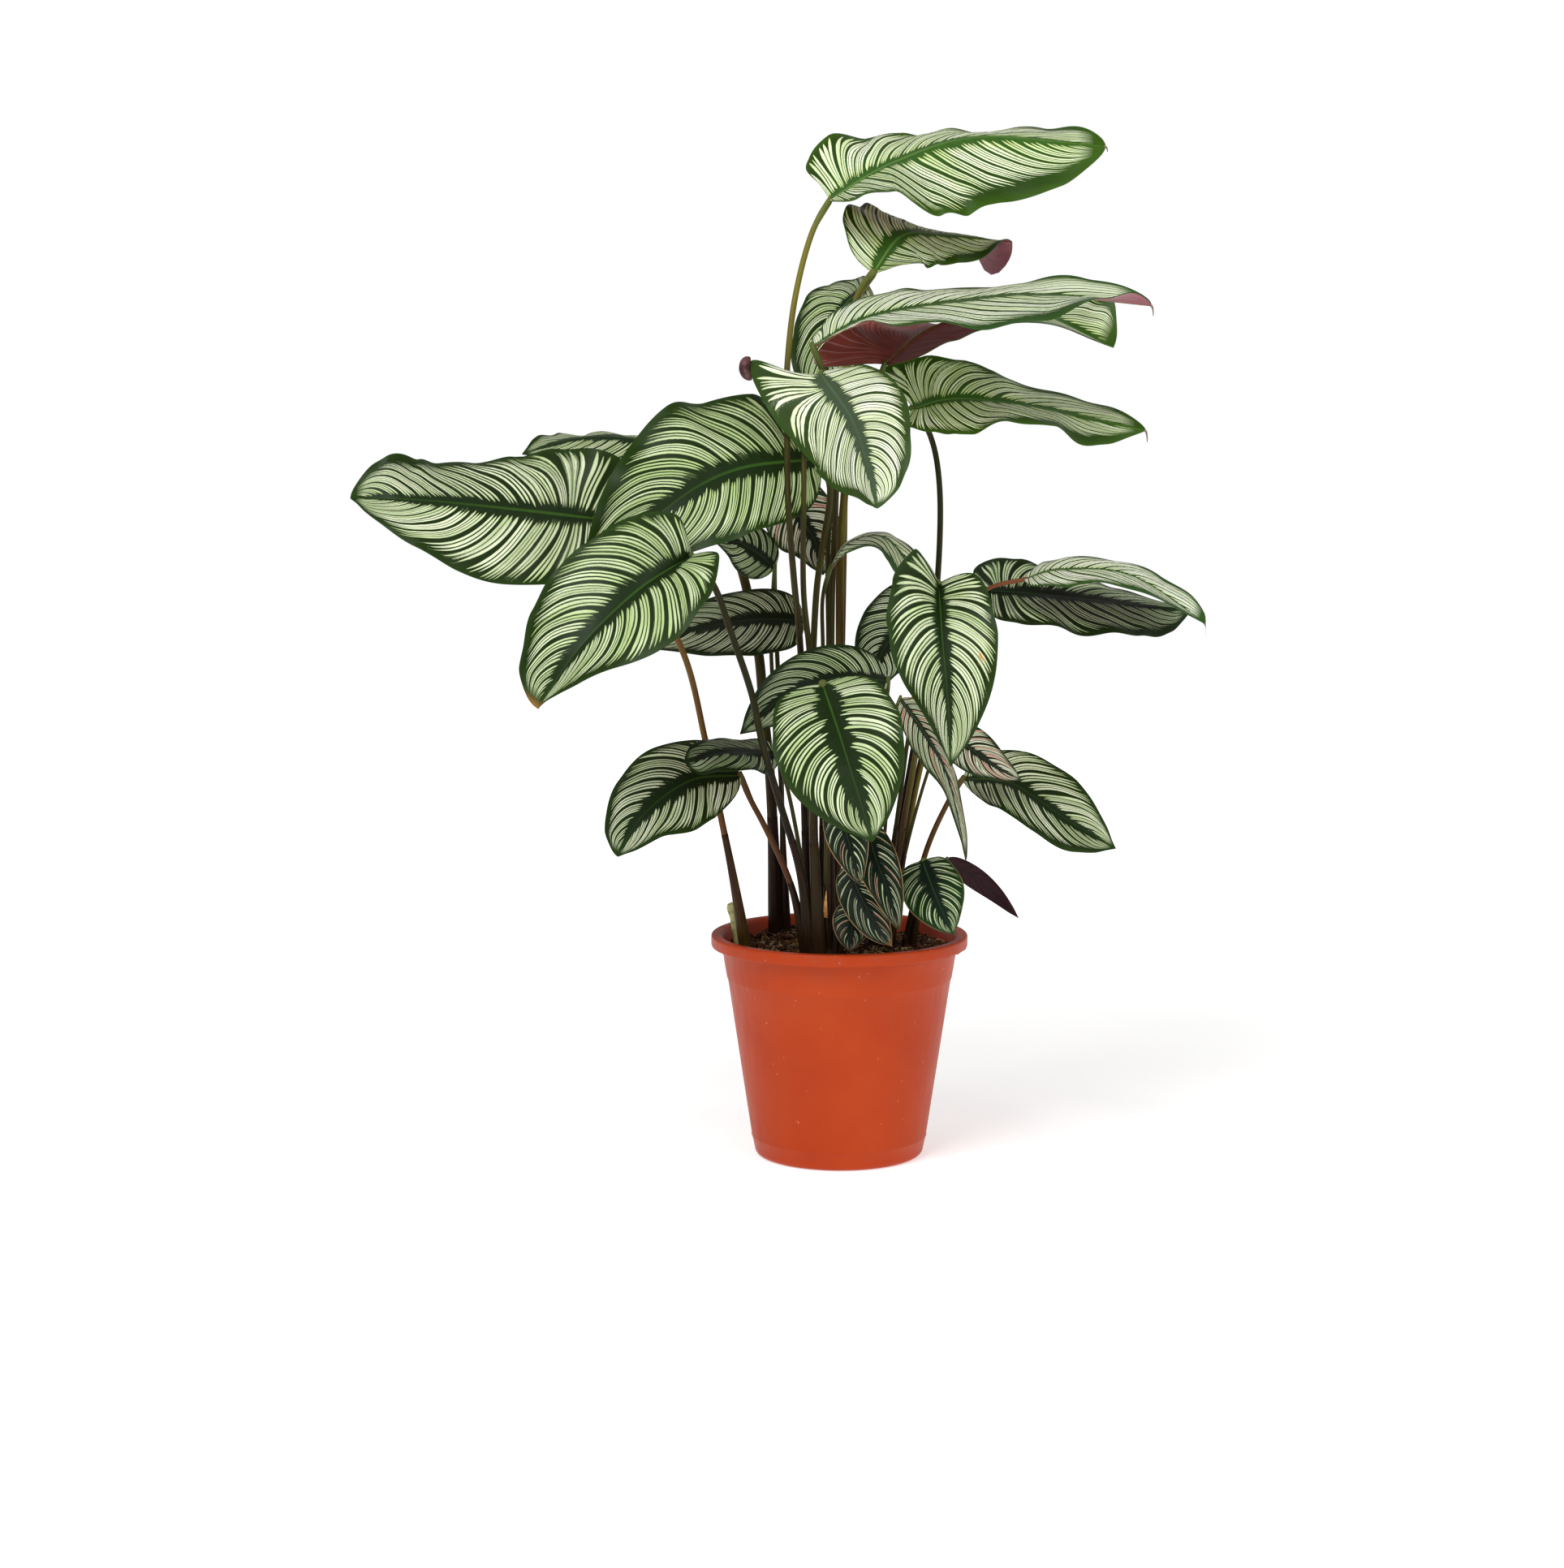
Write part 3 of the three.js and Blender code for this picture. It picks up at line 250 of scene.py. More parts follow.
# Each shoot: its crown (x, y, radius) and its stems, with the leaf that each carries, its
# radius, tone (0 dark, 1 olive or tan) and route. top_tone is the tone of its top stretch;
# brown and brown_top redden all of it or its top. Midribs and routes are points read by eye
# in the photograph's pixels, turned into millimetres by a projection script.
SHOOTS = [
    dict(node="shoot_main", crown=(-15, 1, 16.5), stems=[
        dict(leaf="leaf_crown", r=2.6, tone=0.12, top_tone=0.7, route=[[-25, -5, 165],
             [-30, -28, 320], [-32, -45, 414], [-38, -77, 481], [-42, -96, 533], [-43, -62, 590],
             [-43, -38, 640], [-36, -20, 700], [-22, -8, 751]]),
        dict(leaf="leaf_front_upper", r=2.4, route=[[-19, -10, 165], [-22, -32, 320],
             [-25, -44, 414], [-30, -61, 467], [-30, -81, 540], [-29, -62, 590],
             [-24, -52, 620]]),
        dict(leaf="leaf_big_left", r=2.8, route=[[-21, 2, 165], [-24, -12, 330], [-22, -25, 415],
             [-19, -28, 469], [-15, -28, 498], [-9, -29, 548]]),
        dict(leaf="leaf_upper_rolled", r=3.4, tone=0.55, top_tone=0.8, route=[[-5, 1, 165],
             [0, 8, 330], [0, 14, 415], [0, 15, 476], [1, 18, 507], [4, 22, 546], [7, 30, 664],
             [14, 0, 699]]),
        dict(leaf="leaf_upper_long", r=2.6, route=[[-8, -8, 165], [-7, -6, 330], [-7, -3, 415],
             [-6, 0, 477], [-4, 4, 521], [-4, -12, 590], [-14, -44, 636]]),
        dict(leaf="leaf_upper_twisted", r=2.2, route=[[-11, 7, 165], [-10, 13, 330],
             [-9, 15, 415], [-8, 16, 521], [8, 4, 590], [25, -18, 620]]),
        dict(leaf="leaf_upper_back", r=2.4, tone=0.7, route=[[-5, 9, 165], [2, 26, 400],
             [4, 36, 500], [6, 60, 560], [15, 100, 640], [28, 98, 695]]),
        dict(leaf="leaf_middle_left", r=2.2, tone=0.6, route=[[-18, 11, 165], [-22, 20, 300],
             [-24, 27, 415]]),
        dict(leaf="leaf_middle_arch", r=1.8, route=[[-14, -4, 165], [-15, -6, 330],
             [-14, -8, 415], [-14, -9, 460]]),
    ]),
    dict(node="shoot_centre", crown=(-16, -39, 14), stems=[
        dict(leaf="leaf_lower_left", r=2.8, tone=0.05, route=[[-24, -44, 165], [-31, -52, 235],
             [-49, -80, 302], [-62, -100, 349], [-71, -112, 392], [-86, -115, 437],
             [-99, -122, 474]]),
        dict(leaf="leaf_front_low", r=3.6, route=[[-17, -46, 165], [-20, -52, 230],
             [-22, -70, 289], [-20, -98, 334], [-18, -130, 376]]),
        dict(leaf="leaf_low_left", r=2.5, tone=0.1, brown=0.4, route=[[-26, -37, 165],
             [-40, -42, 230], [-62, -48, 280], [-72, -48, 299]]),
        dict(leaf="leaf_low_left_rolled", r=1.8, route=[[-20, -33, 165], [-30, -35, 240],
             [-42, -42, 305]]),
        dict(leaf="leaf_young_front", r=2.6, route=[[-11, -40, 165], [-11, -48, 230],
             [-10, -75, 288]]),
        dict(leaf="leaf_young_middle", r=1.6, route=[[-8, -34, 165], [3, -30, 225],
             [14, -50, 272]]),
        dict(leaf="leaf_young_low", r=1.6, route=[[-7, -41, 165], [-1, -39, 215]]),
        dict(leaf="leaf_young_behind", r=1.5, route=[[-6, -37, 165], [6, -36, 190]]),
    ]),
    dict(node="shoot_right", crown=(34.5, 15.5, 15.2), stems=[
        dict(leaf="leaf_right_upper", r=2.6, tone=0.05, route=[[33, 25, 165], [46, 20, 244],
             [60, 16, 329], [71, 10, 396], [79, 4, 474], [80, 0, 544], [75, 0, 579],
             [67, -4, 598]]),
        dict(leaf="leaf_front_right", r=2.4, tone=0.5, route=[[33, 10, 165], [47, 3, 244],
             [61, -12, 330], [70, -50, 400], [76, -90, 462]]),
        dict(leaf="leaf_right_pale", r=1.8, tone=0.8, brown_top=0.9, route=[[41, 18, 165],
             [53, 15, 244], [68, 7, 325], [90, -10, 420], [115, -38, 466]]),
        dict(leaf="leaf_right_dark", r=2, route=[[40, 26, 165], [52, 25, 244], [68, 19, 330],
             [92, 6, 430]]),
        dict(leaf="leaf_behind_right", r=1.8, route=[[33, 17, 165], [43, 11, 244], [54, 5, 330],
             [66, 1, 430]]),
        dict(leaf="leaf_behind_low", r=2, route=[[25, 17, 165], [30, 5, 280], [36, -35, 370]]),
        dict(leaf="leaf_pink_right", r=1.5, route=[[41, 10, 165], [54, 0, 250], [76, -27, 335]]),
        dict(leaf="leaf_pink_hanging", r=1.5, route=[[27, 8, 165], [35, -12, 250], [40, -55, 340],
             [41, -82, 370]]),
        dict(leaf="leaf_young_right", r=1.6, tone=0.5, route=[[37, 5, 165], [47, -8, 200],
             [60, -45, 242]]),
    ]),
    dict(node="shoot_low_right", crown=(57, 13, 6), stems=[
        dict(leaf="leaf_low_right", r=2.4, tone=0.25, brown=0.4, route=[[56, 15, 165],
             [70, 14, 244], [89, 5, 291]]),
        dict(leaf="leaf_young_purple", r=1.5, route=[[59, 10, 165], [67, 6, 205], [78, -4, 236]]),
    ]),
    dict(node="shoot_back_left", crown=(-47, 51, 10), stems=[
        dict(leaf="leaf_left_back", r=4.2, route=[[-51, 49, 165], [-57, 52, 307], [-62, 53, 358],
             [-67, 57, 412], [-85, 75, 490]]),
        dict(leaf="leaf_middle_left_dark", r=1.8, route=[[-43, 48, 165], [-48, 50, 300],
             [-56, 53, 412]]),
        dict(leaf="leaf_middle_hanging", r=2, route=[[-45, 56, 165], [-48, 62, 330],
             [-53, 66, 480]]),
    ]),
    dict(node="shoot_far_left", crown=(-74.5, -20.5, 5.4), stems=[
        dict(leaf="leaf_far_left", r=2.6, tone=0.6, brown=0.45, route=[[-75, -21, 165],
             [-87, -35, 238], [-98, -35, 293], [-109, -31, 347], [-125, -32, 413],
             [-160, -30, 480]]),
    ]),
    dict(node="stem_cut", crown=(-80, -1, 5.2), stems=[
        dict(leaf=None, r=3.8, tone=0.9, route=[[-80, -1, 165], [-84, -3, 184], [-88, -5, 208]]),
    ]),
]


# Curves
def control_points(points):
    """The points as an array, with one more at each end, carried on straight."""
    p = np.array(points, float)
    return np.vstack([2 * p[0] - p[1], p, 2 * p[-1] - p[-2]])


def hermite(b, c, t0, t1, u):
    """The cubic curve from b to c with tangents t0 and t1, at u from 0 to 1."""
    return b + t0 * u + (3 * (c - b) - 2 * t0 - t1) * u**2 + (2 * (b - c) + t0 + t1) * u**3


def on_midrib(points, t):
    """Points on the midrib, a uniform Catmull-Rom curve through its table, at t from 0 to 1."""
    p = control_points(points)
    last = len(points) - 1
    at = np.clip(t, 0, 1) * last
    k = np.minimum(at.astype(int), last - 1)
    u = (at - k)[..., None]
    a, b, c, d = (p[k + i] for i in range(4))
    return hermite(b, c, (c - a) / 2, (d - b) / 2, u)


def midrib(points, x):
    """Place and direction along the midrib, carried on straight past the base."""
    t = np.clip(x, 0, 1)
    tangent = on_midrib(points, t + 1e-4) - on_midrib(points, t - 1e-4)
    tangent /= np.linalg.norm(tangent, axis=-1, keepdims=True)
    fine = on_midrib(points, np.linspace(0, 1, 201))
    length = np.linalg.norm(np.diff(fine, axis=0), axis=1).sum()
    return on_midrib(points, t) + tangent * (np.minimum(x, 0) * length)[..., None], tangent


def on_stem(points, count):
    """Evenly spaced points on the smooth route of a stem, a centripetal Catmull-Rom curve."""
    p = control_points(points)
    stretches = []
    for k in range(len(points) - 1):
        a, b, c, d = p[k : k + 4]
        ab, bc, cd = (max(np.linalg.norm(v) ** 0.5, 1e-4) for v in (b - a, c - b, d - c))
        t0 = ((b - a) / ab - (c - a) / (ab + bc) + (c - b) / bc) * bc
        t1 = ((c - b) / bc - (d - b) / (bc + cd) + (d - c) / cd) * bc
        u = np.linspace(0, 1, 40, endpoint=k == len(points) - 2)[:, None]
        stretches.append(hermite(b, c, t0, t1, u))
    dense = np.vstack(stretches)
    way = np.concatenate([[0], np.cumsum(np.linalg.norm(np.diff(dense, axis=0), axis=1))])
    at = np.linspace(0, way[-1], count)
    return np.stack([np.interp(at, way, dense[:, i]) for i in range(3)], 1), at


def smooth(low, high, x):
    """0 up to low, 1 from high on, and a smooth step between."""
    t = np.clip((x - low) / (high - low), 0, 1)
    return t * t * (3 - 2 * t)


def between(values, x):
    """A value between those given at even steps from the base to the tip."""
    v = np.array(values, float)
    t = np.clip(x, 0, 1) * (len(v) - 1)
    k = np.minimum(t.astype(int), len(v) - 2)
    return v[k] + (v[k + 1] - v[k]) * smooth(0, 1, t - k)


def half_of(value, side):
    """The value of one half of a blade, where the two may differ."""
    return value[0 if side > 0 else 1] if isinstance(value, (list, tuple)) else value


# Blades
def flat_vein(leaf, s, v, side):
    """Where the side vein that starts at s lies on the flat blade, v from midrib to edge."""
    lobe = half_of(leaf.get("lobe", LOBE), side)
    edge_x = s - lobe * np.sin(np.pi * np.minimum(1, s / LOBE_SPAN))
    skew = half_of(leaf.get("skew", SKEW), side)
    full = half_of(leaf.get("full", FULLNESS), side)
    edge_y = np.abs(np.sin(np.pi * s**skew)) ** full * (1 - DRIP_TIP * smooth(0.9, 1, s))
    rib_x = s**RIB_SPREAD
    turn_x = rib_x + 0.3 * (edge_x - rib_x)
    turn_y = 0.6 * edge_y
    x = (1 - v) ** 2 * rib_x + 2 * v * (1 - v) * turn_x + v * v * edge_x
    return x, 2 * v * (1 - v) * turn_y + v * v * edge_y


def vein_number(leaf, s, v, side):
    """How many groups of side veins lie between the base and a point. The groups are evenly
    spaced along a line 0.6 of the way to the edge, and the veins sweep forward."""
    steps = np.linspace(0, 1, 201)
    x, y = flat_vein(leaf, steps, 0.6, side)
    length = np.linalg.norm(np.diff(np.array(leaf["rib"], float), axis=0), axis=1).sum()
    y = y * half_of(leaf["half"], side) / length
    way = np.concatenate([[0], np.cumsum(np.hypot(np.diff(x), np.diff(y)))])
    return leaf["groups"] * np.interp(s - VEIN_SWEEP * s**1.5 * v**1.3, steps, way / way[-1])


def half_blade(leaf, s, v, side):
    """Places and normals on one half of the blade, left (+1) or right (-1)."""
    x, y = flat_vein(leaf, s, v, side)
    point, tangent = midrib(leaf["rib"], x)
    front = TOWARD - tangent * (tangent @ TOWARD)[..., None]
    front /= np.linalg.norm(front, axis=-1, keepdims=True)
    sideways = np.cross(front, tangent) * side
    turns = leaf.get("left" if side > 0 else "right", FLAT)
    turn = np.radians(between(turns, x))[..., None]
    out = np.cos(turn) * sideways + np.sin(turn) * front
    up = np.cos(turn) * front - np.sin(turn) * sideways
    bend = math.radians(half_of(leaf.get("bend", BEND), side))
    angle = (bend * y)[..., None]
    reach = half_of(leaf["half"], side) / bend
    height, waves, phase = leaf.get("wave", [0, 0, 0])
    lift = height * v * v * np.sin(2 * np.pi * waves * s + phase + side) * np.sin(np.pi * s)
    veins = vein_number(leaf, s, v, side)
    lift = lift + PLEAT_H * np.cos(2 * np.pi * veins) * np.sin(np.pi * v) * np.sin(np.pi * s)
    lift = lift + RIPPLE_H * v**3 * np.sin(veins * 2.1 + leaf["seed"]) * np.sin(np.pi * s) ** 0.5
    place = point + out * reach * np.sin(angle) + up * (
        reach * (np.cos(angle) - 1) + lift[..., None]
    )
    return place, up * np.cos(angle) + out * np.sin(angle)


def make_mesh(name, places, faces, materials, slots=None, attributes=(), sharp=None):
    """A smooth mesh object from millimetre places, with its materials and named attributes."""
    mesh = bpy.data.meshes.new(name)
    mesh.from_pydata((np.asarray(places) * MM).tolist(), [], faces)
    for material in materials:
        mesh.materials.append(material)
    if slots is not None:
        mesh.polygons.foreach_set("material_index", np.asarray(slots, np.int32))
    mesh.polygons.foreach_set("use_smooth", np.ones(len(mesh.polygons), bool))
    for title, values in attributes:
        values = np.asarray(values, np.float32)
        kind = "FLOAT_VECTOR" if values.ndim == 2 else "FLOAT"
        layer = mesh.attributes.new(title, kind, "POINT")
        layer.data.foreach_set("vector" if values.ndim == 2 else "value", values.ravel())
    if sharp:
        pairs = np.sort(np.array(sharp), axis=1)
        keys = {tuple(pair) for pair in pairs.tolist()}
        ends = np.zeros(2 * len(mesh.edges), np.int32)
        mesh.edges.foreach_get("vertices", ends)
        flags = [tuple(sorted(pair)) in keys for pair in ends.reshape(-1, 2).tolist()]
        mesh.attributes.new("sharp_edge", "BOOLEAN", "EDGE").data.foreach_set("value", flags)
    mesh.validate()
    made = bpy.data.objects.new(name, mesh)
    bpy.context.scene.collection.objects.link(made)
    return made


def add_blade(leaf):
    """One blade: a thin closed sheet, its top and underside on one grid, keeled under the rib."""
    wide = half_of(leaf["half"], -1) > LARGE_HALF
    rows = np.concatenate([
        [0, 0.0004, 0.0015, 0.004, 0.009, 0.017],
        np.linspace(0.028, 0.972, LARGE_ROWS if wide else SMALL_ROWS),
        [0.983, 0.991, 0.996, 0.9985, 0.9996, 1],
    ])[:, None]
    steps = np.array([0, 0.012, 0.03, 0.06, 0.11, 0.18, 0.26, 0.35, 0.45, 0.55, 0.65, 0.75,
                      0.84, 0.91, 0.965, 1])[None, :]
    left, left_up = half_blade(leaf, rows, steps, 1)
    right, right_up = half_blade(leaf, rows, steps, -1)
    middle_up = left_up[:, :1] + right_up[:, :1]
    left_up[:, :1] = right_up[:, :1] = middle_up / np.linalg.norm(middle_up, axis=-1, keepdims=True)
    places = np.concatenate([left[:, ::-1], right[:, 1:]], 1)
    ups = np.concatenate([left_up[:, ::-1], right_up[:, 1:]], 1)
    across = np.concatenate([steps[0, ::-1], -steps[0, 1:]])[None, :] + 0 * rows
    along = np.concatenate([flat_vein(leaf, rows, steps, 1)[0][:, ::-1],
                            flat_vein(leaf, rows, steps, -1)[0][:, 1:]], 1)
    veins = np.concatenate([vein_number(leaf, rows, steps, 1)[:, ::-1],
                            vein_number(leaf, rows, steps, -1)[:, 1:]], 1)
    groove = RIB_GROOVE * np.exp(-((across / 0.022) ** 2)) * (1 - rows)
    keel = (KEEL_T * (1 - rows) + BLADE_T * rows - BLADE_T / 2) * np.exp(-((across / 0.035) ** 2))
    top = places + ups * (BLADE_T / 2 - groove)[..., None]
    under = places - ups * (BLADE_T / 2 + keel)[..., None]
    count, wide_count = places.shape[:2]
    for sheet in (top, under):
        sheet[0], sheet[-1] = sheet[0, wide_count // 2], sheet[-1, wide_count // 2]
    middle = wide_count // 2
    keep = np.ones((count, wide_count), bool)
    keep[[0, -1]] = False
    keep[[0, -1], middle] = True
    number = np.cumsum(keep.ravel()).reshape(keep.shape) - 1
    number[0], number[-1] = number[0, middle], number[-1, middle]
    total = keep.sum()
    faces, slots, sharp = [], [], []

    def face(corners, slot):
        ring = [c for k, c in enumerate(corners) if c != corners[k - 1]]
        if len(ring) > 2:
            faces.append(ring)
            slots.append(slot)

    for i in range(count - 1):
        for j in range(wide_count - 1):
            a, b, c, d = (int(n) for n in (number[i, j], number[i + 1, j],
                                           number[i + 1, j + 1], number[i, j + 1]))
            face([a, d, c, b], 0)
            face([a + total, b + total, c + total, d + total], 1)
        for j, turn in ((0, 1), (wide_count - 1, -1)):
            a, b = int(number[i, j]), int(number[i + 1, j])
            face([a, b, b + total, a + total][::turn], 0)
            sharp += [(a, b), (a + total, b + total)]
    spot = np.stack([veins, across, along], -1)[keep]
    look = np.tile([leaf["centre"], leaf["paleness"], leaf["seed"]], (2 * total, 1))
    spots = np.zeros(total)
    if "spots" in leaf:
        x, y, reach = leaf["spots"]
        spots += np.exp(-(((along - x) / reach) ** 2) - ((across - y) / reach / 1.6) ** 2)[keep]
    if "dry_tip" in leaf:
        spots -= smooth(1 - 1.5 * leaf["dry_tip"], 1, along)[keep]
    blade = make_mesh(
        leaf["node"].replace("leaf_", "") + "_blade",
        np.clip(np.vstack([top[keep], under[keep]]), BOX_LOW, BOX_HIGH), faces,
        [TOPS[leaf["finish"]], LEAF_UNDER], slots,
        [("vein_spot", np.vstack([spot, spot])), ("leaf_look", look),
         ("leaf_spots", np.concatenate([spots, 0 * spots]))], sharp)
    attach(blade, "root")
    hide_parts(leaf["node"])


# Materials. Noise on object coordinates has its scale per metre, so 1000 / scale is the size
# of its features in millimetres.
def srgb(code):
    """A linear colour from its sRGB hex code."""
    parts = [int(code[k : k + 2], 16) / 255 for k in (1, 3, 5)]
    return (*[p / 12.92 if p <= 0.04045 else ((p + 0.055) / 1.055) ** 2.4 for p in parts], 1)


def add(tree, kind, inputs=None, **settings):
    """Adds one node with its settings and its input values or links; gives its outputs."""
    node = tree.nodes.new("ShaderNode" + kind)
    for key, value in settings.items():
        setattr(node, key, value)
    for socket, value in (inputs or {}).items():
        if isinstance(value, bpy.types.NodeSocket):
            tree.links.new(value, node.inputs[socket])
        else:
            node.inputs[socket].default_value = value
    return node.outputs


def new_material(name):
    """An empty node material and its tree."""
    material = bpy.data.materials.new(name)
    material.use_nodes = True
    material.node_tree.nodes.clear()
    return material, material.node_tree


def vein_pattern(tree, stripes_in_group, band, share, solid_tip=0.16):
    """The side veins' pattern on a blade, from its vein_spot (groups of veins counted from the
    base, place across from -1 to 1, place along) and leaf_look (centre, paleness, seed).
    Each group is a few pale stripes and one dark band; a stripe opens beside the dark centre,
    tapers toward the margin and has its own drawn start, end and width."""
    spot = add(tree, "Attribute", attribute_name="vein_spot")["Vector"]
    look = add(tree, "Attribute", attribute_name="leaf_look")["Vector"]
    veins, signed, along = add(tree, "SeparateXYZ", {0: spot})[:3]
    centre, paleness, seed = add(tree, "SeparateXYZ", {0: look})[:3]
    across = add(tree, "Math", {0: signed}, operation="ABSOLUTE")[0]
    left = add(tree, "Math", {0: signed, 1: 0.0}, operation="GREATER_THAN")[0]
    salt = add(tree, "Math", {0: left, 1: 7.3, 2: seed}, operation="MULTIPLY_ADD")[0]
    drift_at = add(tree, "CombineXYZ", {0: veins, 1: across, 2: salt})[0]
    drift = add(tree, "TexNoise", {"Vector": drift_at, "Scale": 0.9, "Detail": 1.0})[0]
    shifted = add(tree, "Math", {0: left, 1: 0.45, 2: veins}, operation="MULTIPLY_ADD")[0]
    place = add(tree, "Math", {0: drift, 1: 0.7, 2: shifted}, operation="MULTIPLY_ADD")[0]
    group = add(tree, "Math", {0: place}, operation="FLOOR")[0]
    part = add(tree, "Math", {0: place}, operation="FRACT")[0]
    group_key = add(tree, "CombineXYZ", {0: group, 1: salt})[0]
    group_draw = add(tree, "TexWhiteNoise", {"Vector": group_key})["Color"]
    many, later, sooner = add(tree, "SeparateXYZ", {0: group_draw})[:3]
    more = add(tree, "Math", {0: many, 1: 0.6}, operation="GREATER_THAN")[0]
    stripes = add(tree, "Math", {0: more, 1: float(stripes_in_group)})[0]
    units = add(tree, "Math", {0: stripes, 1: band})[0]
    count = add(tree, "Math", {0: part, 1: units}, operation="MULTIPLY")[0]
    stripe = add(tree, "Math", {0: count}, operation="FLOOR")[0]
    inside = add(tree, "Math", {0: stripe, 1: stripes}, operation="LESS_THAN")[0]
    stripe_key = add(tree, "CombineXYZ", {0: group, 1: stripe, 2: salt})[0]
    stripe_draw = add(tree, "TexWhiteNoise", {"Vector": stripe_key})["Color"]
    ragged, short, fat = add(tree, "SeparateXYZ", {0: stripe_draw})[:3]
    late = add(tree, "Math", {0: ragged, 1: later})[0]
    late = add(tree, "Math", {0: late, 1: 0.8, 2: 0.6}, operation="MULTIPLY_ADD")[0]
    start = add(tree, "Math", {0: late, 1: centre}, operation="MULTIPLY")[0]
    opened = add(tree, "Math", {0: start, 1: 0.07})[0]
    early = add(tree, "Math", {0: short, 1: sooner})[0]
    end = add(tree, "Math", {0: early, 1: -0.06, 2: 0.985}, operation="MULTIPLY_ADD")[0]
    solid = add(tree, "MapRange", {0: along, 1: 0.5, 2: 1.0, 3: 0.0, 4: solid_tip})[0]
    right = add(tree, "MapRange", {0: left, 1: 0.0, 2: 1.0, 3: 1.0, 4: 0.35})[0]
    solid = add(tree, "Math", {0: solid, 1: right}, operation="MULTIPLY")[0]
    end = add(tree, "Math", {0: end, 1: solid}, operation="SUBTRACT")[0]
    narrowing = add(tree, "Math", {0: end, 1: 0.2}, operation="SUBTRACT")[0]
    opening = add(tree, "MapRange", {0: across, 1: start, 2: opened})[0]
    taper = add(tree, "MapRange", {0: across, 1: narrowing, 2: end, 3: 1.0, 4: 0.0})[0]
    taper = add(tree, "Math", {0: taper, 1: 0.5}, operation="POWER")[0]
    opening = add(tree, "Math", {0: opening, 1: 0.5}, operation="POWER")[0]
    width = add(tree, "Math", {0: opening, 1: taper}, operation="MULTIPLY")[0]
    own = add(tree, "Math", {0: fat, 1: 0.12, 2: share - 0.06}, operation="MULTIPLY_ADD")[0]
    width = add(tree, "Math", {0: width, 1: own}, operation="MULTIPLY")[0]
    # Painted light and shade: stripes are wider, so paler, on a blade's left half and narrower on
    # its right half. This stands in for light on upper halves and shade on lower halves.
    painted_light_width = add(tree, "MapRange", {0: left, 1: 0.0, 2: 1.0, 3: 0.92, 4: 1.06})[0]
    width = add(tree, "Math", {0: width, 1: painted_light_width}, operation="MULTIPLY")[0]
    inner = add(tree, "Math", {0: width, 1: 0.1}, operation="SUBTRACT")[0]
    from_line = add(tree, "Math", {0: count}, operation="FRACT")[0]
    off = add(tree, "Math", {0: from_line, 1: 0.5}, operation="SUBTRACT")[0]
    off = add(tree, "Math", {0: off}, operation="ABSOLUTE")[0]
    pale = add(tree, "MapRange", {0: off, 1: inner, 2: width, 3: 1.0, 4: 0.0})[0]
    pale = add(tree, "Math", {0: pale, 1: inside}, operation="MULTIPLY")[0]
    tip = add(tree, "MapRange", {0: along, 1: 0.93, 2: 0.97, 3: 1.0, 4: 0.0})[0]
    pale = add(tree, "Math", {0: pale, 1: tip}, operation="MULTIPLY")[0]
    return dict(pale=pale, across=across, along=along, centre=centre, paleness=paleness,
                place=place, salt=salt, drift=drift, off=off, draw=ragged)


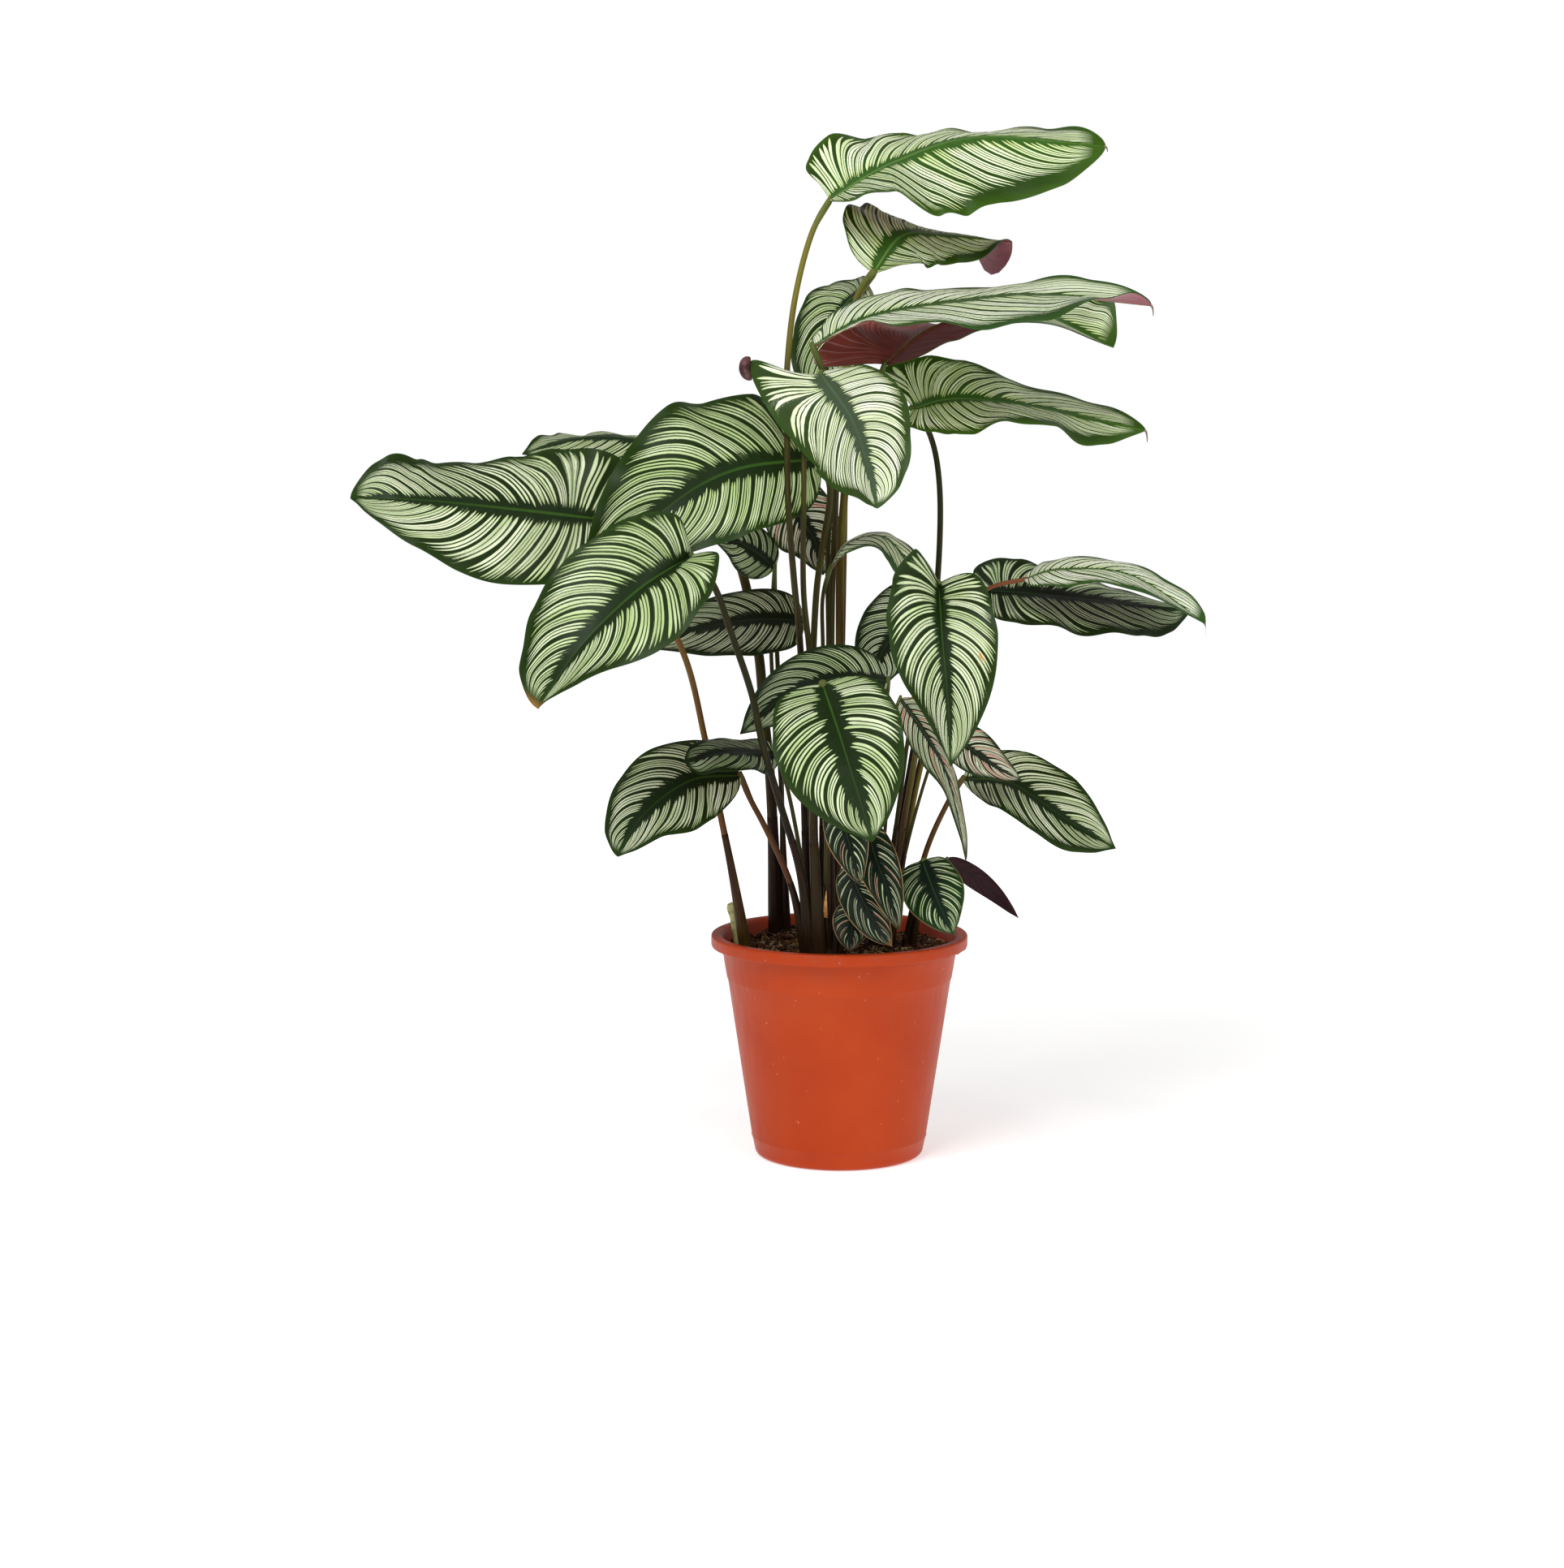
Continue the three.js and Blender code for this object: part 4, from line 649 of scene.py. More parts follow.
def leaf_top(name, centre, band, margin, rib, stripe, white, stripe_end, stripes=3, gap=0.9,
             share=0.355, pink=None, pink_from=0.5, solid_tip=0.16, dry_edge=0.0):
    """Top of a living leaf: a waxy cuticle over green tissue, satin with soft highlights.
    The pale stripes are tissue without green, yellower where they begin and end; the cuticle
    is the same all over. leaf_spots is above 0 at orange blemishes and below 0 at a dry tip."""
    material, tree = new_material(name)
    at = vein_pattern(tree, stripes, gap, share, solid_tip)
    far = add(tree, "Math", {0: at["centre"], 1: 0.4})[0]
    zone = add(tree, "MapRange", {0: at["across"], 1: at["centre"], 2: far})[0]
    ground = add(tree, "Mix", {0: zone, 6: srgb(centre), 7: srgb(band)}, data_type="RGBA")[2]
    edge = add(tree, "MapRange", {0: at["across"], 1: 0.84, 2: 0.99})[0]
    end = add(tree, "MapRange", {0: at["along"], 1: 0.84, 2: 0.97})[0]
    edge = add(tree, "Math", {0: edge, 1: end}, operation="MAXIMUM")[0]
    ground = add(tree, "Mix", {0: edge, 6: ground, 7: srgb(margin)}, data_type="RGBA")[2]
    line = add(tree, "MapRange", {0: at["across"], 1: 0.008, 2: 0.024, 3: 1.0, 4: 0.0})[0]
    plain = add(tree, "MapRange", {0: at["along"], 1: 0.0, 2: 0.6, 3: 0.9, 4: 0.3})[0]
    line = add(tree, "Math", {0: line, 1: plain}, operation="MULTIPLY")[0]
    ground = add(tree, "Mix", {0: line, 6: ground, 7: srgb(rib)}, data_type="RGBA")[2]
    tint = add(tree, "MapRange", {0: at["drift"], 1: 0.35, 2: 0.65, 3: -0.25, 4: 0.25})[0]
    tint = add(tree, "Math", {0: tint, 1: at["paleness"]}, use_clamp=True)[0]
    light = add(tree, "Mix", {0: tint, 6: srgb(stripe), 7: srgb(white)}, data_type="RGBA")[2]
    from_middle = add(tree, "Math", {0: at["across"], 1: 0.5}, operation="SUBTRACT")[0]
    from_middle = add(tree, "Math", {0: from_middle}, operation="ABSOLUTE")[0]
    fresh = add(tree, "MapRange", {0: from_middle, 1: 0.25, 2: 0.5, 3: 0.0, 4: 0.6})[0]
    light = add(tree, "Mix", {0: fresh, 6: light, 7: srgb(stripe_end)}, data_type="RGBA")[2]
    if pink:
        warm = add(tree, "MapRange", {0: at["draw"], 1: pink_from, 2: pink_from + 0.1})[0]
        light = add(tree, "Mix", {0: warm, 6: light, 7: srgb(pink)}, data_type="RGBA")[2]
    colour = add(tree, "Mix", {0: at["pale"], 6: ground, 7: light}, data_type="RGBA")[2]
    brim = add(tree, "MapRange", {0: at["across"], 1: 0.95, 2: 0.975, 3: 0.0, 4: dry_edge})[0]
    colour = add(tree, "Mix", {0: brim, 6: colour, 7: srgb("#b28e62")}, data_type="RGBA")[2]
    spotted = add(tree, "Attribute", attribute_name="leaf_spots")["Fac"]
    dry = add(tree, "MapRange", {0: spotted, 1: 0.0, 2: -1.0, 3: 0.0, 4: 0.9})[0]
    colour = add(tree, "Mix", {0: dry, 6: colour, 7: srgb("#8a6430")}, data_type="RGBA")[2]
    cells_at = add(tree, "CombineXYZ", {0: at["place"], 1: at["across"], 2: at["salt"]})[0]
    mottle = add(tree, "TexNoise", {"Vector": cells_at, "Scale": 5.0, "Detail": 4.0})[0]
    speck = add(tree, "Math", {0: mottle, 1: spotted}, operation="MULTIPLY")[0]
    speck = add(tree, "MapRange", {0: speck, 1: 0.44, 2: 0.5, 3: 0.0, 4: 0.8})[0]
    colour = add(tree, "Mix", {0: speck, 6: colour, 7: srgb("#b9792f")}, data_type="RGBA")[2]
    shade = add(tree, "MapRange", {0: mottle, 1: 0.3, 2: 0.7, 3: 0.88, 4: 1.1})[0]
    colour = add(tree, "Mix", {0: 1.0, 6: colour, 7: shade}, data_type="RGBA",
                 blend_type="MULTIPLY")[2]
    rough = add(tree, "MapRange", {0: mottle, 1: 0.3, 2: 0.7, 3: 0.36, 4: 0.5})[0]
    ridge = add(tree, "Math", {0: at["pale"], 1: mottle}, operation="MULTIPLY")[0]
    bump = add(tree, "Bump", {"Strength": 0.35, "Distance": 0.0003, "Height": ridge})[0]
    shader = add(tree, "BsdfPrincipled", {"Base Color": colour, "Roughness": rough,
                                          "Normal": bump, "IOR": 1.45,
                                          "Specular IOR Level": 0.16})[0]
    add(tree, "OutputMaterial", {"Surface": shader})
    return material


def leaf_under(name, deep, deep_tip, light, rib):
    """Underside of a living leaf: matt, coloured by anthocyanin, red-brown near the base and
    mauve toward the tip, with raised lighter veins."""
    material, tree = new_material(name)
    at = vein_pattern(tree, 3, 1.3, 0.4)
    line = add(tree, "MapRange", {0: at["off"], 1: 0.36, 2: 0.5, 3: 0.0, 4: 0.55})[0]
    far = add(tree, "MapRange", {0: at["along"], 1: 0.25, 2: 0.75})[0]
    ground = add(tree, "Mix", {0: far, 6: srgb(deep), 7: srgb(deep_tip)}, data_type="RGBA")[2]
    colour = add(tree, "Mix", {0: line, 6: ground, 7: srgb(light)}, data_type="RGBA")[2]
    spine = add(tree, "MapRange", {0: at["across"], 1: 0.02, 2: 0.055, 3: 0.9, 4: 0.0})[0]
    colour = add(tree, "Mix", {0: spine, 6: colour, 7: srgb(rib)}, data_type="RGBA")[2]
    cells_at = add(tree, "CombineXYZ", {0: at["place"], 1: at["across"], 2: at["salt"]})[0]
    mottle = add(tree, "TexNoise", {"Vector": cells_at, "Scale": 2.5, "Detail": 3.0})[0]
    shade = add(tree, "MapRange", {0: mottle, 1: 0.3, 2: 0.7, 3: 0.8, 4: 1.2})[0]
    colour = add(tree, "Mix", {0: 1.0, 6: colour, 7: shade}, data_type="RGBA",
                 blend_type="MULTIPLY")[2]
    bump = add(tree, "Bump", {"Strength": 0.4, "Distance": 0.0003, "Height": line})[0]
    shader = add(tree, "BsdfPrincipled", {"Base Color": colour, "Roughness": 0.5, "Normal": bump,
                                          "IOR": 1.42})[0]
    add(tree, "OutputMaterial", {"Surface": shader})
    return material


TOPS = {
    "green": leaf_top("leaf_green_top", "#17280c", "#182a04", "#1f3607", "#3a5e1e",
                      "#aec586", "#f1f6da", "#a6c468"),
    "bright": leaf_top("leaf_bright_top", "#34581c", "#263f0c", "#325209", "#6a9244",
                       "#bfd68a", "#f6fae4", "#bcd254", gap=0.75, share=0.385,
                       solid_tip=0.3),
    # Painted sheen: the grey-green centre and grey rib stand in for light reflected off the middle
    # of the front upper leaf.
    "painted_sheen": leaf_top("leaf_painted_sheen_top", "#3f4f38", "#2f421b", "#2c4612", "#50614a",
                       "#c2d88e", "#f6fae4", "#bcd258", gap=0.75, share=0.39,
                       solid_tip=0.3),
    "pale": leaf_top("leaf_pale_top", "#2f4c1b", "#253f15", "#2b4d17", "#587542",
                     "#cce29e", "#f8fbea", "#bed676", gap=0.75, share=0.4),
    # Painted shade: the dark finish is the green top made darker, with greyer stripes, for leaves
    # that lie in shade.
    "dark": leaf_top("leaf_shaded_top", "#121c0a", "#142208", "#1a2c0c", "#2a4020",
                     "#9ab47c", "#dce7c4", "#94ae70", gap=1.1, share=0.31),
    "pink": leaf_top("leaf_pink_top", "#161f12", "#1b2a0e", "#243614", "#415230",
                     "#b4c79a", "#e6ead3", "#a8bc84", share=0.37, pink="#d4a08c",
                     pink_from=0.72),
    "young": leaf_top("leaf_young_top", "#0b180f", "#0f2211", "#2c2a18", "#3c4a28",
                      "#a8bf86", "#dfe8c4", "#a8b880", stripes=1, share=0.19, pink="#c99c88",
                      pink_from=0.6, dry_edge=0.8),
    "young_green": leaf_top("leaf_young_green_top", "#0e2014", "#12300f", "#1c4018",
                            "#3f6432", "#a8c47e", "#e2edc6", "#a0c072", stripes=2,
                            share=0.25, dry_edge=0.4),
    "purple": leaf_top("leaf_purple_top", "#20090f", "#260c12", "#2a1018", "#34201a",
                       "#2e1218", "#361a1e", "#2e1218", share=0.3),
}
# The turned finish is the bright top; the inner finish is the dark top, painted shade.
TOPS["turned"], TOPS["inner"] = TOPS["bright"], TOPS["dark"]
LEAF_UNDER = leaf_under("leaf_purple_underside", "#7c3c30", "#8c525a", "#b98c8c", "#74602c")


def plastic_pot():
    """Injection-moulded polypropylene, terracotta-coloured: satin, faintly mottled by the mould
    and by handling, with fine scuffs and a little dust of peat near the rim. Clouds are about
    70 mm, dust 17 mm, specks 4 mm, scuffs 4.5 mm wide and 57 mm high. The mould's grain is
    drawn at 1.1 mm: at the photograph's 1.5 pixels a millimetre a finer one wouldn't show."""
    material, tree = new_material("polypropylene_terracotta")
    at = add(tree, "TexCoord")["Object"]
    cloud = add(tree, "TexNoise", {"Vector": at, "Scale": 14.0, "Detail": 3.0})[0]
    grain = add(tree, "TexNoise", {"Vector": at, "Scale": 900.0, "Detail": 2.0})[0]
    share = add(tree, "MapRange", {0: cloud, 1: 0.35, 2: 0.68})[0]
    colour = add(tree, "Mix", {0: share, 6: srgb("#a6360d"), 7: srgb("#ae3d12")},
                 data_type="RGBA")[2]
    speck = add(tree, "TexNoise", {"Vector": at, "Scale": 260.0, "Detail": 1.0})[0]
    speck = add(tree, "MapRange", {0: speck, 1: 0.775, 2: 0.79, 3: 0.0, 4: 0.45})[0]
    colour = add(tree, "Mix", {0: speck, 6: colour, 7: srgb("#dc8f72")}, data_type="RGBA")[2]
    height = add(tree, "SeparateXYZ", {0: at})[2]
    dust = add(tree, "MapRange", {0: height, 1: 0.150, 2: 0.183})[0]
    dusty = add(tree, "TexNoise", {"Vector": at, "Scale": 60.0, "Detail": 5.0})[0]
    dusty = add(tree, "MapRange", {0: dusty, 1: 0.5, 2: 0.75, 3: 0.0, 4: 0.4})[0]
    dust = add(tree, "Math", {0: dust, 1: dusty}, operation="MULTIPLY")[0]
    colour = add(tree, "Mix", {0: dust, 6: colour, 7: srgb("#8e4a35")}, data_type="RGBA")[2]
    along = add(tree, "Mapping", {"Vector": at, "Scale": (1.0, 1.0, 0.08)})[0]
    scuff = add(tree, "TexNoise", {"Vector": along, "Scale": 220.0, "Detail": 3.0})[0]
    rough = add(tree, "MapRange", {0: scuff, 1: 0.3, 2: 0.7, 3: 0.36, 4: 0.48})[0]
    both = add(tree, "Math", {0: grain, 1: 0.3, 2: cloud}, operation="MULTIPLY_ADD")[0]
    bump = add(tree, "Bump", {"Strength": 0.12, "Distance": 0.0004, "Height": both})[0]
    shader = add(tree, "BsdfPrincipled", {"Base Color": colour, "Roughness": rough,
                                          "Normal": bump, "IOR": 1.49,
                                          "Specular IOR Level": 0.16})[0]
    add(tree, "OutputMaterial", {"Surface": shader})
    return material


def earth(name, dark, middle, light):
    """Damp peat and bark fibre: matt, crumbly, nearly black between its paler fibres. Its
    damp and dry patches are about 13 mm, and its crumbs 3 mm."""
    material, tree = new_material(name)
    at = add(tree, "TexCoord")["Object"]
    coarse = add(tree, "TexNoise", {"Vector": at, "Scale": 75.0, "Detail": 5.0})[0]
    crumbs = add(tree, "TexNoise", {"Vector": at, "Scale": 320.0, "Detail": 6.0})[0]
    share = add(tree, "MapRange", {0: coarse, 1: 0.35, 2: 0.65})[0]
    colour = add(tree, "Mix", {0: share, 6: srgb(dark), 7: srgb(middle)}, data_type="RGBA")[2]
    bits = add(tree, "MapRange", {0: crumbs, 1: 0.5, 2: 0.72})[0]
    colour = add(tree, "Mix", {0: bits, 6: colour, 7: srgb(light)}, data_type="RGBA")[2]
    bump = add(tree, "Bump", {"Strength": 0.9, "Distance": 0.0015, "Height": crumbs})[0]
    shader = add(tree, "BsdfPrincipled", {"Base Color": colour, "Roughness": 0.95, "Normal": bump,
                                          "Specular IOR Level": 0.1})[0]
    add(tree, "OutputMaterial", {"Surface": shader})
    return material


def stem_skin():
    """Skin of a leaf stem: smooth, waxy, dark and purplish low down, olive to green higher,
    with fine lines along it, about 20 round the stem and 16 mm long. stem_spot is round,
    along (mm), share of the height; stem_look is tone (0 dark, 1 olive or tan), seed, and 1
    on a dry sheath, 0 on a green stem and down to -1 on a brown one."""
    material, tree = new_material("leaf_stem_skin")
    spot = add(tree, "Attribute", attribute_name="stem_spot")["Vector"]
    look = add(tree, "Attribute", attribute_name="stem_look")["Vector"]
    around, along, rise = add(tree, "SeparateXYZ", {0: spot})[:3]
    tone, seed, dry = add(tree, "SeparateXYZ", {0: look})[:3]
    turn = add(tree, "Math", {0: around, 1: 2 * math.pi}, operation="MULTIPLY")[0]
    east = add(tree, "Math", {0: turn}, operation="COSINE")[0]
    north = add(tree, "Math", {0: turn}, operation="SINE")[0]
    slow = add(tree, "Math", {0: along, 1: 0.02, 2: seed}, operation="MULTIPLY_ADD")[0]
    line_at = add(tree, "CombineXYZ", {0: east, 1: north, 2: slow})[0]
    lines = add(tree, "TexNoise", {"Vector": line_at, "Scale": 3.2, "Detail": 4.0})[0]
    broad = add(tree, "TexNoise", {"Vector": line_at, "Scale": 0.7, "Detail": 1.0})[0]
    low = add(tree, "Mix", {0: tone, 6: srgb("#120b07"), 7: srgb("#54331c")}, data_type="RGBA")[2]
    high = add(tree, "Mix", {0: tone, 6: srgb("#181d0c"), 7: srgb("#80792a")},
               data_type="RGBA")[2]
    up = add(tree, "MapRange", {0: rise, 1: 0.1, 2: 0.75})[0]
    wave = add(tree, "MapRange", {0: broad, 1: 0.4, 2: 0.6, 3: -0.3, 4: 0.3})[0]
    up = add(tree, "Math", {0: up, 1: wave}, use_clamp=True)[0]
    colour = add(tree, "Mix", {0: up, 6: low, 7: high}, data_type="RGBA")[2]
    neck = add(tree, "MapRange", {0: rise, 1: 0.93, 2: 0.98, 3: 0.0, 4: 0.7})[0]
    colour = add(tree, "Mix", {0: neck, 6: colour, 7: srgb("#5c6a34")}, data_type="RGBA")[2]
    brown = add(tree, "MapRange", {0: dry, 1: 0.0, 2: -1.0})[0]
    colour = add(tree, "Mix", {0: brown, 6: colour, 7: srgb("#74402a")}, data_type="RGBA")[2]
    thread = add(tree, "MapRange", {0: lines, 1: 0.55, 2: 0.7, 3: 0.0, 4: 0.2})[0]
    colour = add(tree, "Mix", {0: thread, 6: colour, 7: srgb("#6b4f30")}, data_type="RGBA")[2]
    husk = add(tree, "MapRange", {0: lines, 1: 0.4, 2: 0.62, 3: 0.1, 4: 0.7})[0]
    husk = add(tree, "Math", {0: husk, 1: dry}, operation="MULTIPLY", use_clamp=True)[0]
    colour = add(tree, "Mix", {0: husk, 6: colour, 7: srgb("#2f180c")}, data_type="RGBA")[2]
    bump = add(tree, "Bump", {"Strength": 0.3, "Distance": 0.0004, "Height": lines})[0]
    shader = add(tree, "BsdfPrincipled", {"Base Color": colour, "Roughness": 0.38, "Normal": bump,
                                          "IOR": 1.45, "Specular IOR Level": 0.12})[0]
    add(tree, "OutputMaterial", {"Surface": shader})
    return material


def plain_bits(name, one, other, roughness, scale):
    """Small natural bits in two mottled shades, matt from their cut or torn fibre."""
    material, tree = new_material(name)
    at = add(tree, "TexCoord")["Object"]
    cloud = add(tree, "TexNoise", {"Vector": at, "Scale": scale, "Detail": 3.0})[0]
    share = add(tree, "MapRange", {0: cloud, 1: 0.4, 2: 0.6})[0]
    bump = add(tree, "Bump", {"Strength": 0.5, "Distance": 0.0005, "Height": cloud})[0]
    colour = add(tree, "Mix", {0: share, 6: srgb(one), 7: srgb(other)}, data_type="RGBA")[2]
    shader = add(tree, "BsdfPrincipled", {"Base Color": colour, "Roughness": roughness,
                                          "Normal": bump, "Specular IOR Level": 0.2})[0]
    add(tree, "OutputMaterial", {"Surface": shader})
    return material


def floor_paper():
    """Matt white background paper with a painted glow: it gives off light of its own, weaker
    near the pot and stronger away from it. Its faint clouds are about 330 mm."""
    material, tree = new_material("background_paper")
    at = add(tree, "TexCoord")["Object"]
    cloud = add(tree, "TexNoise", {"Vector": at, "Scale": 3.0, "Detail": 2.0})[0]
    share = add(tree, "MapRange", {0: cloud, 1: 0.3, 2: 0.7})[0]
    colour = add(tree, "Mix", {0: share, 6: srgb("#f4f4f3"), 7: srgb("#f8f8f7")},
                 data_type="RGBA")[2]
    away = add(tree, "VectorMath", {0: at}, operation="LENGTH")["Value"]
    # Painted glow: the floor emits light, from 0.42 near the pot to 0.8 farther out.
    glow = add(tree, "MapRange", {0: away, 1: 0.4, 2: 2.2, 3: 0.42, 4: 0.8})[0]
    shader = add(tree, "BsdfPrincipled", {"Base Color": colour, "Roughness": 0.9,
                                          "Specular IOR Level": 0.1,
                                          "Emission Color": (1, 1, 1, 1),
                                          "Emission Strength": glow})[0]
    add(tree, "OutputMaterial", {"Surface": shader})
    return material


# Pot
def wall(z):
    """Outer radius of the pot's tapered wall at a height."""
    return BASE_R + (RIM_R - LIP_OUT - BASE_R) * z / POT_H


def lathe(profile, sides):
    """Places and faces of a profile turned round the vertical axis, closed on the axis."""
    turn = np.arange(sides) * 2 * math.pi / sides
    places, faces, rings = [], [], []
    for r, z in profile:
        start = len(places)
        if r == 0:
            places.append((0, 0, z))
            rings.append([start] * sides)
        else:
            places += [(r * math.cos(a), r * math.sin(a), z) for a in turn]
            rings.append(list(range(start, start + sides)))
    for low, high in zip(rings, rings[1:]):
        for k in range(sides):
            n = (k + 1) % sides
            ring = [low[k], low[n], high[n], high[k]]
            ring = [c for i, c in enumerate(ring) if c != ring[i - 1]]
            faces.append(ring)
    return places, faces


def add_pot():
    """The nursery pot: tapered wall, rounded foot, shoulder line, rim band and drain holes."""
    band = POT_H - RIM_BAND_H
    step = POT_H - SHOULDER_DROP
    foot = [(wall(0) - FOOT_ROUND + FOOT_ROUND * math.sin(a), FOOT_ROUND - FOOT_ROUND * math.cos(a))
            for a in np.linspace(0, math.pi / 2, 7)]
    lip = [(RIM_R - 2 + 2 * math.sin(a), POT_H - 2 + 2 * math.cos(a))
           for a in np.linspace(math.pi / 2, 0, 6)]
    profile = [
        (0, 0), *foot,
        (wall(FOOT_H - 1), FOOT_H - 1), (wall(FOOT_H) + 0.35, FOOT_H - 0.4),
        (wall(FOOT_H) + 0.35, FOOT_H + 0.3), (wall(FOOT_H + 1), FOOT_H + 1),
        (wall(60), 60), (wall(110), 110),
        (wall(step - 0.6), step - 0.6), (wall(step) + 0.5, step),
        (wall(step) + SHOULDER_STEP, step + 1.4), (wall(step + 9) + SHOULDER_STEP, step + 9),
        (wall(band - 0.5) + SHOULDER_STEP, band - 0.5), (wall(band) + SHOULDER_STEP + 0.5, band),
        (RIM_R - 1.2, band - 0.1), (RIM_R - 0.5, band - 0.7), (RIM_R - 0.1, band),
        (RIM_R, band + 1),
        *lip,
        (RIM_R - LIP_OUT + 1.5, POT_H), (RIM_R - LIP_OUT, POT_H - 0.8),
        (wall(POT_H - 4) - WALL, POT_H - 4), (wall(110) - WALL, 110), (wall(50) - WALL, 50),
        (wall(FLOOR_T) - WALL, FLOOR_T), (0, FLOOR_T),
    ]
    places, faces = lathe(profile, POT_SIDES)
    places = np.array(places, float)
    around = np.arctan2(places[:, 1], places[:, 0])
    flash = (np.hypot(places[:, 0], places[:, 1]) > RIM_R - 1.3) & (places[:, 2] < band + 0.1)
    ragged = np.sin(around * 23) * np.sin(around * 57 + 1) + 0.6 * np.sin(around * 111)
    places[flash, 2] -= 0.45 * np.maximum(ragged[flash], -0.4)
    sharp = [(a, b) for f in faces for a, b in zip(f, f[1:] + f[:1])
             if places[a, 2] == FLOOR_T and places[b, 2] == FLOOR_T]
    pot = make_mesh("nursery_pot", places, faces, [plastic_pot()], sharp=sharp)
    for k in range(DRAIN_COUNT):
        angle = 2 * math.pi * k / DRAIN_COUNT
        hole, walls = lathe([(0, -5), (DRAIN_R, -5), (DRAIN_R, 9), (0, 9)], DRAIN_SIDES)
        hole = np.array(hole) + [DRAIN_RING_R * math.cos(angle), DRAIN_RING_R * math.sin(angle), 0]
        drill = make_mesh(f"drill_{k}", hole, walls, [])
        cut = pot.modifiers.new("drain", "BOOLEAN")
        cut.operation, cut.object, cut.solver = "DIFFERENCE", drill, "EXACT"
    whole = bpy.data.meshes.new_from_object(
        pot.evaluated_get(bpy.context.evaluated_depsgraph_get()))
    pot.modifiers.clear()
    pot.data = whole
    for drill in [o for o in bpy.data.objects if o.name.startswith("drill_")]:
        bpy.data.objects.remove(drill)
    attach(pot, "root")
    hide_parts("pot")


# Soil
def soil_top(x, y):
    """The soil's lumpy surface, as in the part."""
    lumps = np.sin(x / 5.3 + 1) * np.sin(y / 4.7) + 0.6 * np.sin((x + 2 * y) / 9.1)
    away = np.hypot(x - MOUND_X, y - MOUND_Y) / MOUND_SPREAD
    return SOIL_TOP + LUMP_H * lumps * 0.6 + MOUND_H * np.exp(-away * away)


def add_soil():
    """The filled pot's soil: a fine crumbly top on a plain body."""
    draw = np.random.default_rng(11)
    edge = SOIL_TOP - 2
    reach = wall(edge) - WALL - SOIL_GAP
    profile = [(0, FLOOR_T + SOIL_GAP), (wall(FLOOR_T) - WALL - SOIL_GAP, FLOOR_T + SOIL_GAP),
               (wall(90) - WALL - SOIL_GAP, 90), (reach, edge)]
    profile += [(reach * (1 - k / SOIL_RINGS), edge) for k in range(1, SOIL_RINGS + 1)]
    profile[-1] = (0, edge)
    places, faces = lathe(profile, SOIL_SIDES)
    places = np.array(places, float)
    r = np.hypot(places[:, 0], places[:, 1])
    upper = (places[:, 2] == edge) & (r < reach - 0.5)
    x, y = places[upper, 0], places[upper, 1]
    crumbs = np.zeros(len(x))
    for size, height in ((9, 0.9), (4.5, 0.7), (2.4, 0.5)):
        for _ in range(6):
            a, b, c = draw.uniform(0, 2 * math.pi, 3)
            crumbs += height / 3 * np.sin((x * math.cos(a) + y * math.sin(a)) / size * 2 + b) * (
                np.sin((x * math.sin(a) - y * math.cos(a)) / size * 2.3 + c))
    places[upper, 2] = soil_top(x, y) + crumbs + draw.normal(0, 0.25, len(x))
    soil = make_mesh("potting_soil", places, faces,
                     [earth("damp_peat", "#1f1109", "#452817", "#8a6a3a")])
    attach(soil, "root")
    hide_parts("soil")


def scatter(draw, count, reach=CRUMB_REACH, patchy=False):
    """Places on the soil, seeded, with an even share of the round area or in loose patches."""
    r = reach * np.sqrt(draw.uniform(0, 1, count))
    a = draw.uniform(0, 2 * math.pi, count)
    x, y = r * np.cos(a), r * np.sin(a)
    if patchy:
        patch = np.sin(x / 13 + 2.2) * np.sin(y / 15 + 0.4) + 0.4 * draw.normal(0, 1, count)
        x, y = x[patch > 0.1], y[patch > 0.1]
    return np.stack([x, y, soil_top(x, y)], 1)


def lump_form():
    """Corners and faces of a round lump with 42 corners."""
    form = bmesh.new()
    bmesh.ops.create_icosphere(form, subdivisions=2, radius=1)
    corners = np.array([v.co[:] for v in form.verts])
    faces = [[v.index for v in f.verts] for f in form.faces]
    form.free()
    return corners, faces


def add_lumps(name, count, sizes, flat, material, seed, lift=0.2, patchy=False):
    """Many irregular lumps half sunk in the soil, as one piece."""
    draw = np.random.default_rng(seed)
    corners, shape = lump_form()
    places, faces = [], []
    for at in scatter(draw, count, patchy=patchy):
        size = draw.uniform(*sizes)
        stretch = draw.uniform(0.6, 1.3, 3) * [1, 1, flat]
        rough = 1 + 0.22 * np.sin(corners @ draw.normal(0, 3, (3, 1)) + draw.uniform(0, 6))
        turn = draw.uniform(0, math.pi)
        spin = np.array([[math.cos(turn), -math.sin(turn), 0],
                         [math.sin(turn), math.cos(turn), 0], [0, 0, 1]])
        start = len(places) * len(corners)
        places.append((corners * rough * stretch * size) @ spin.T + at + [0, 0, lift * size])
        faces += [[start + c for c in f] for f in shape]
    piece = make_mesh(name, np.vstack(places), faces, [material])
    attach(piece, "root")


def add_fibres(name, count, length, thick, material, seed):
    """Thin curved fibres lying on the soil, as one piece."""
    draw = np.random.default_rng(seed)
    places, faces = [], []
    for at in scatter(draw, count, FIBRE_REACH):
        long = draw.uniform(*length)
        a, curl = draw.uniform(0, 2 * math.pi), draw.uniform(-1.2, 1.2)
        t = np.linspace(-0.5, 0.5, 6)
        x = at[0] + long * t * math.cos(a) - curl * long * t * t * math.sin(a)
        y = at[1] + long * t * math.sin(a) + curl * long * t * t * math.cos(a)
        z = soil_top(x, y) + 0.9 + draw.uniform(-0.2, 1.4) * (1 - 3 * t * t)
        add_tube(places, faces, np.stack([x, y, z], 1),
                 draw.uniform(*thick) * (1 - 2.6 * t * t), 5)
    piece = make_mesh(name, np.array(places), faces, [material])
    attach(piece, "root")


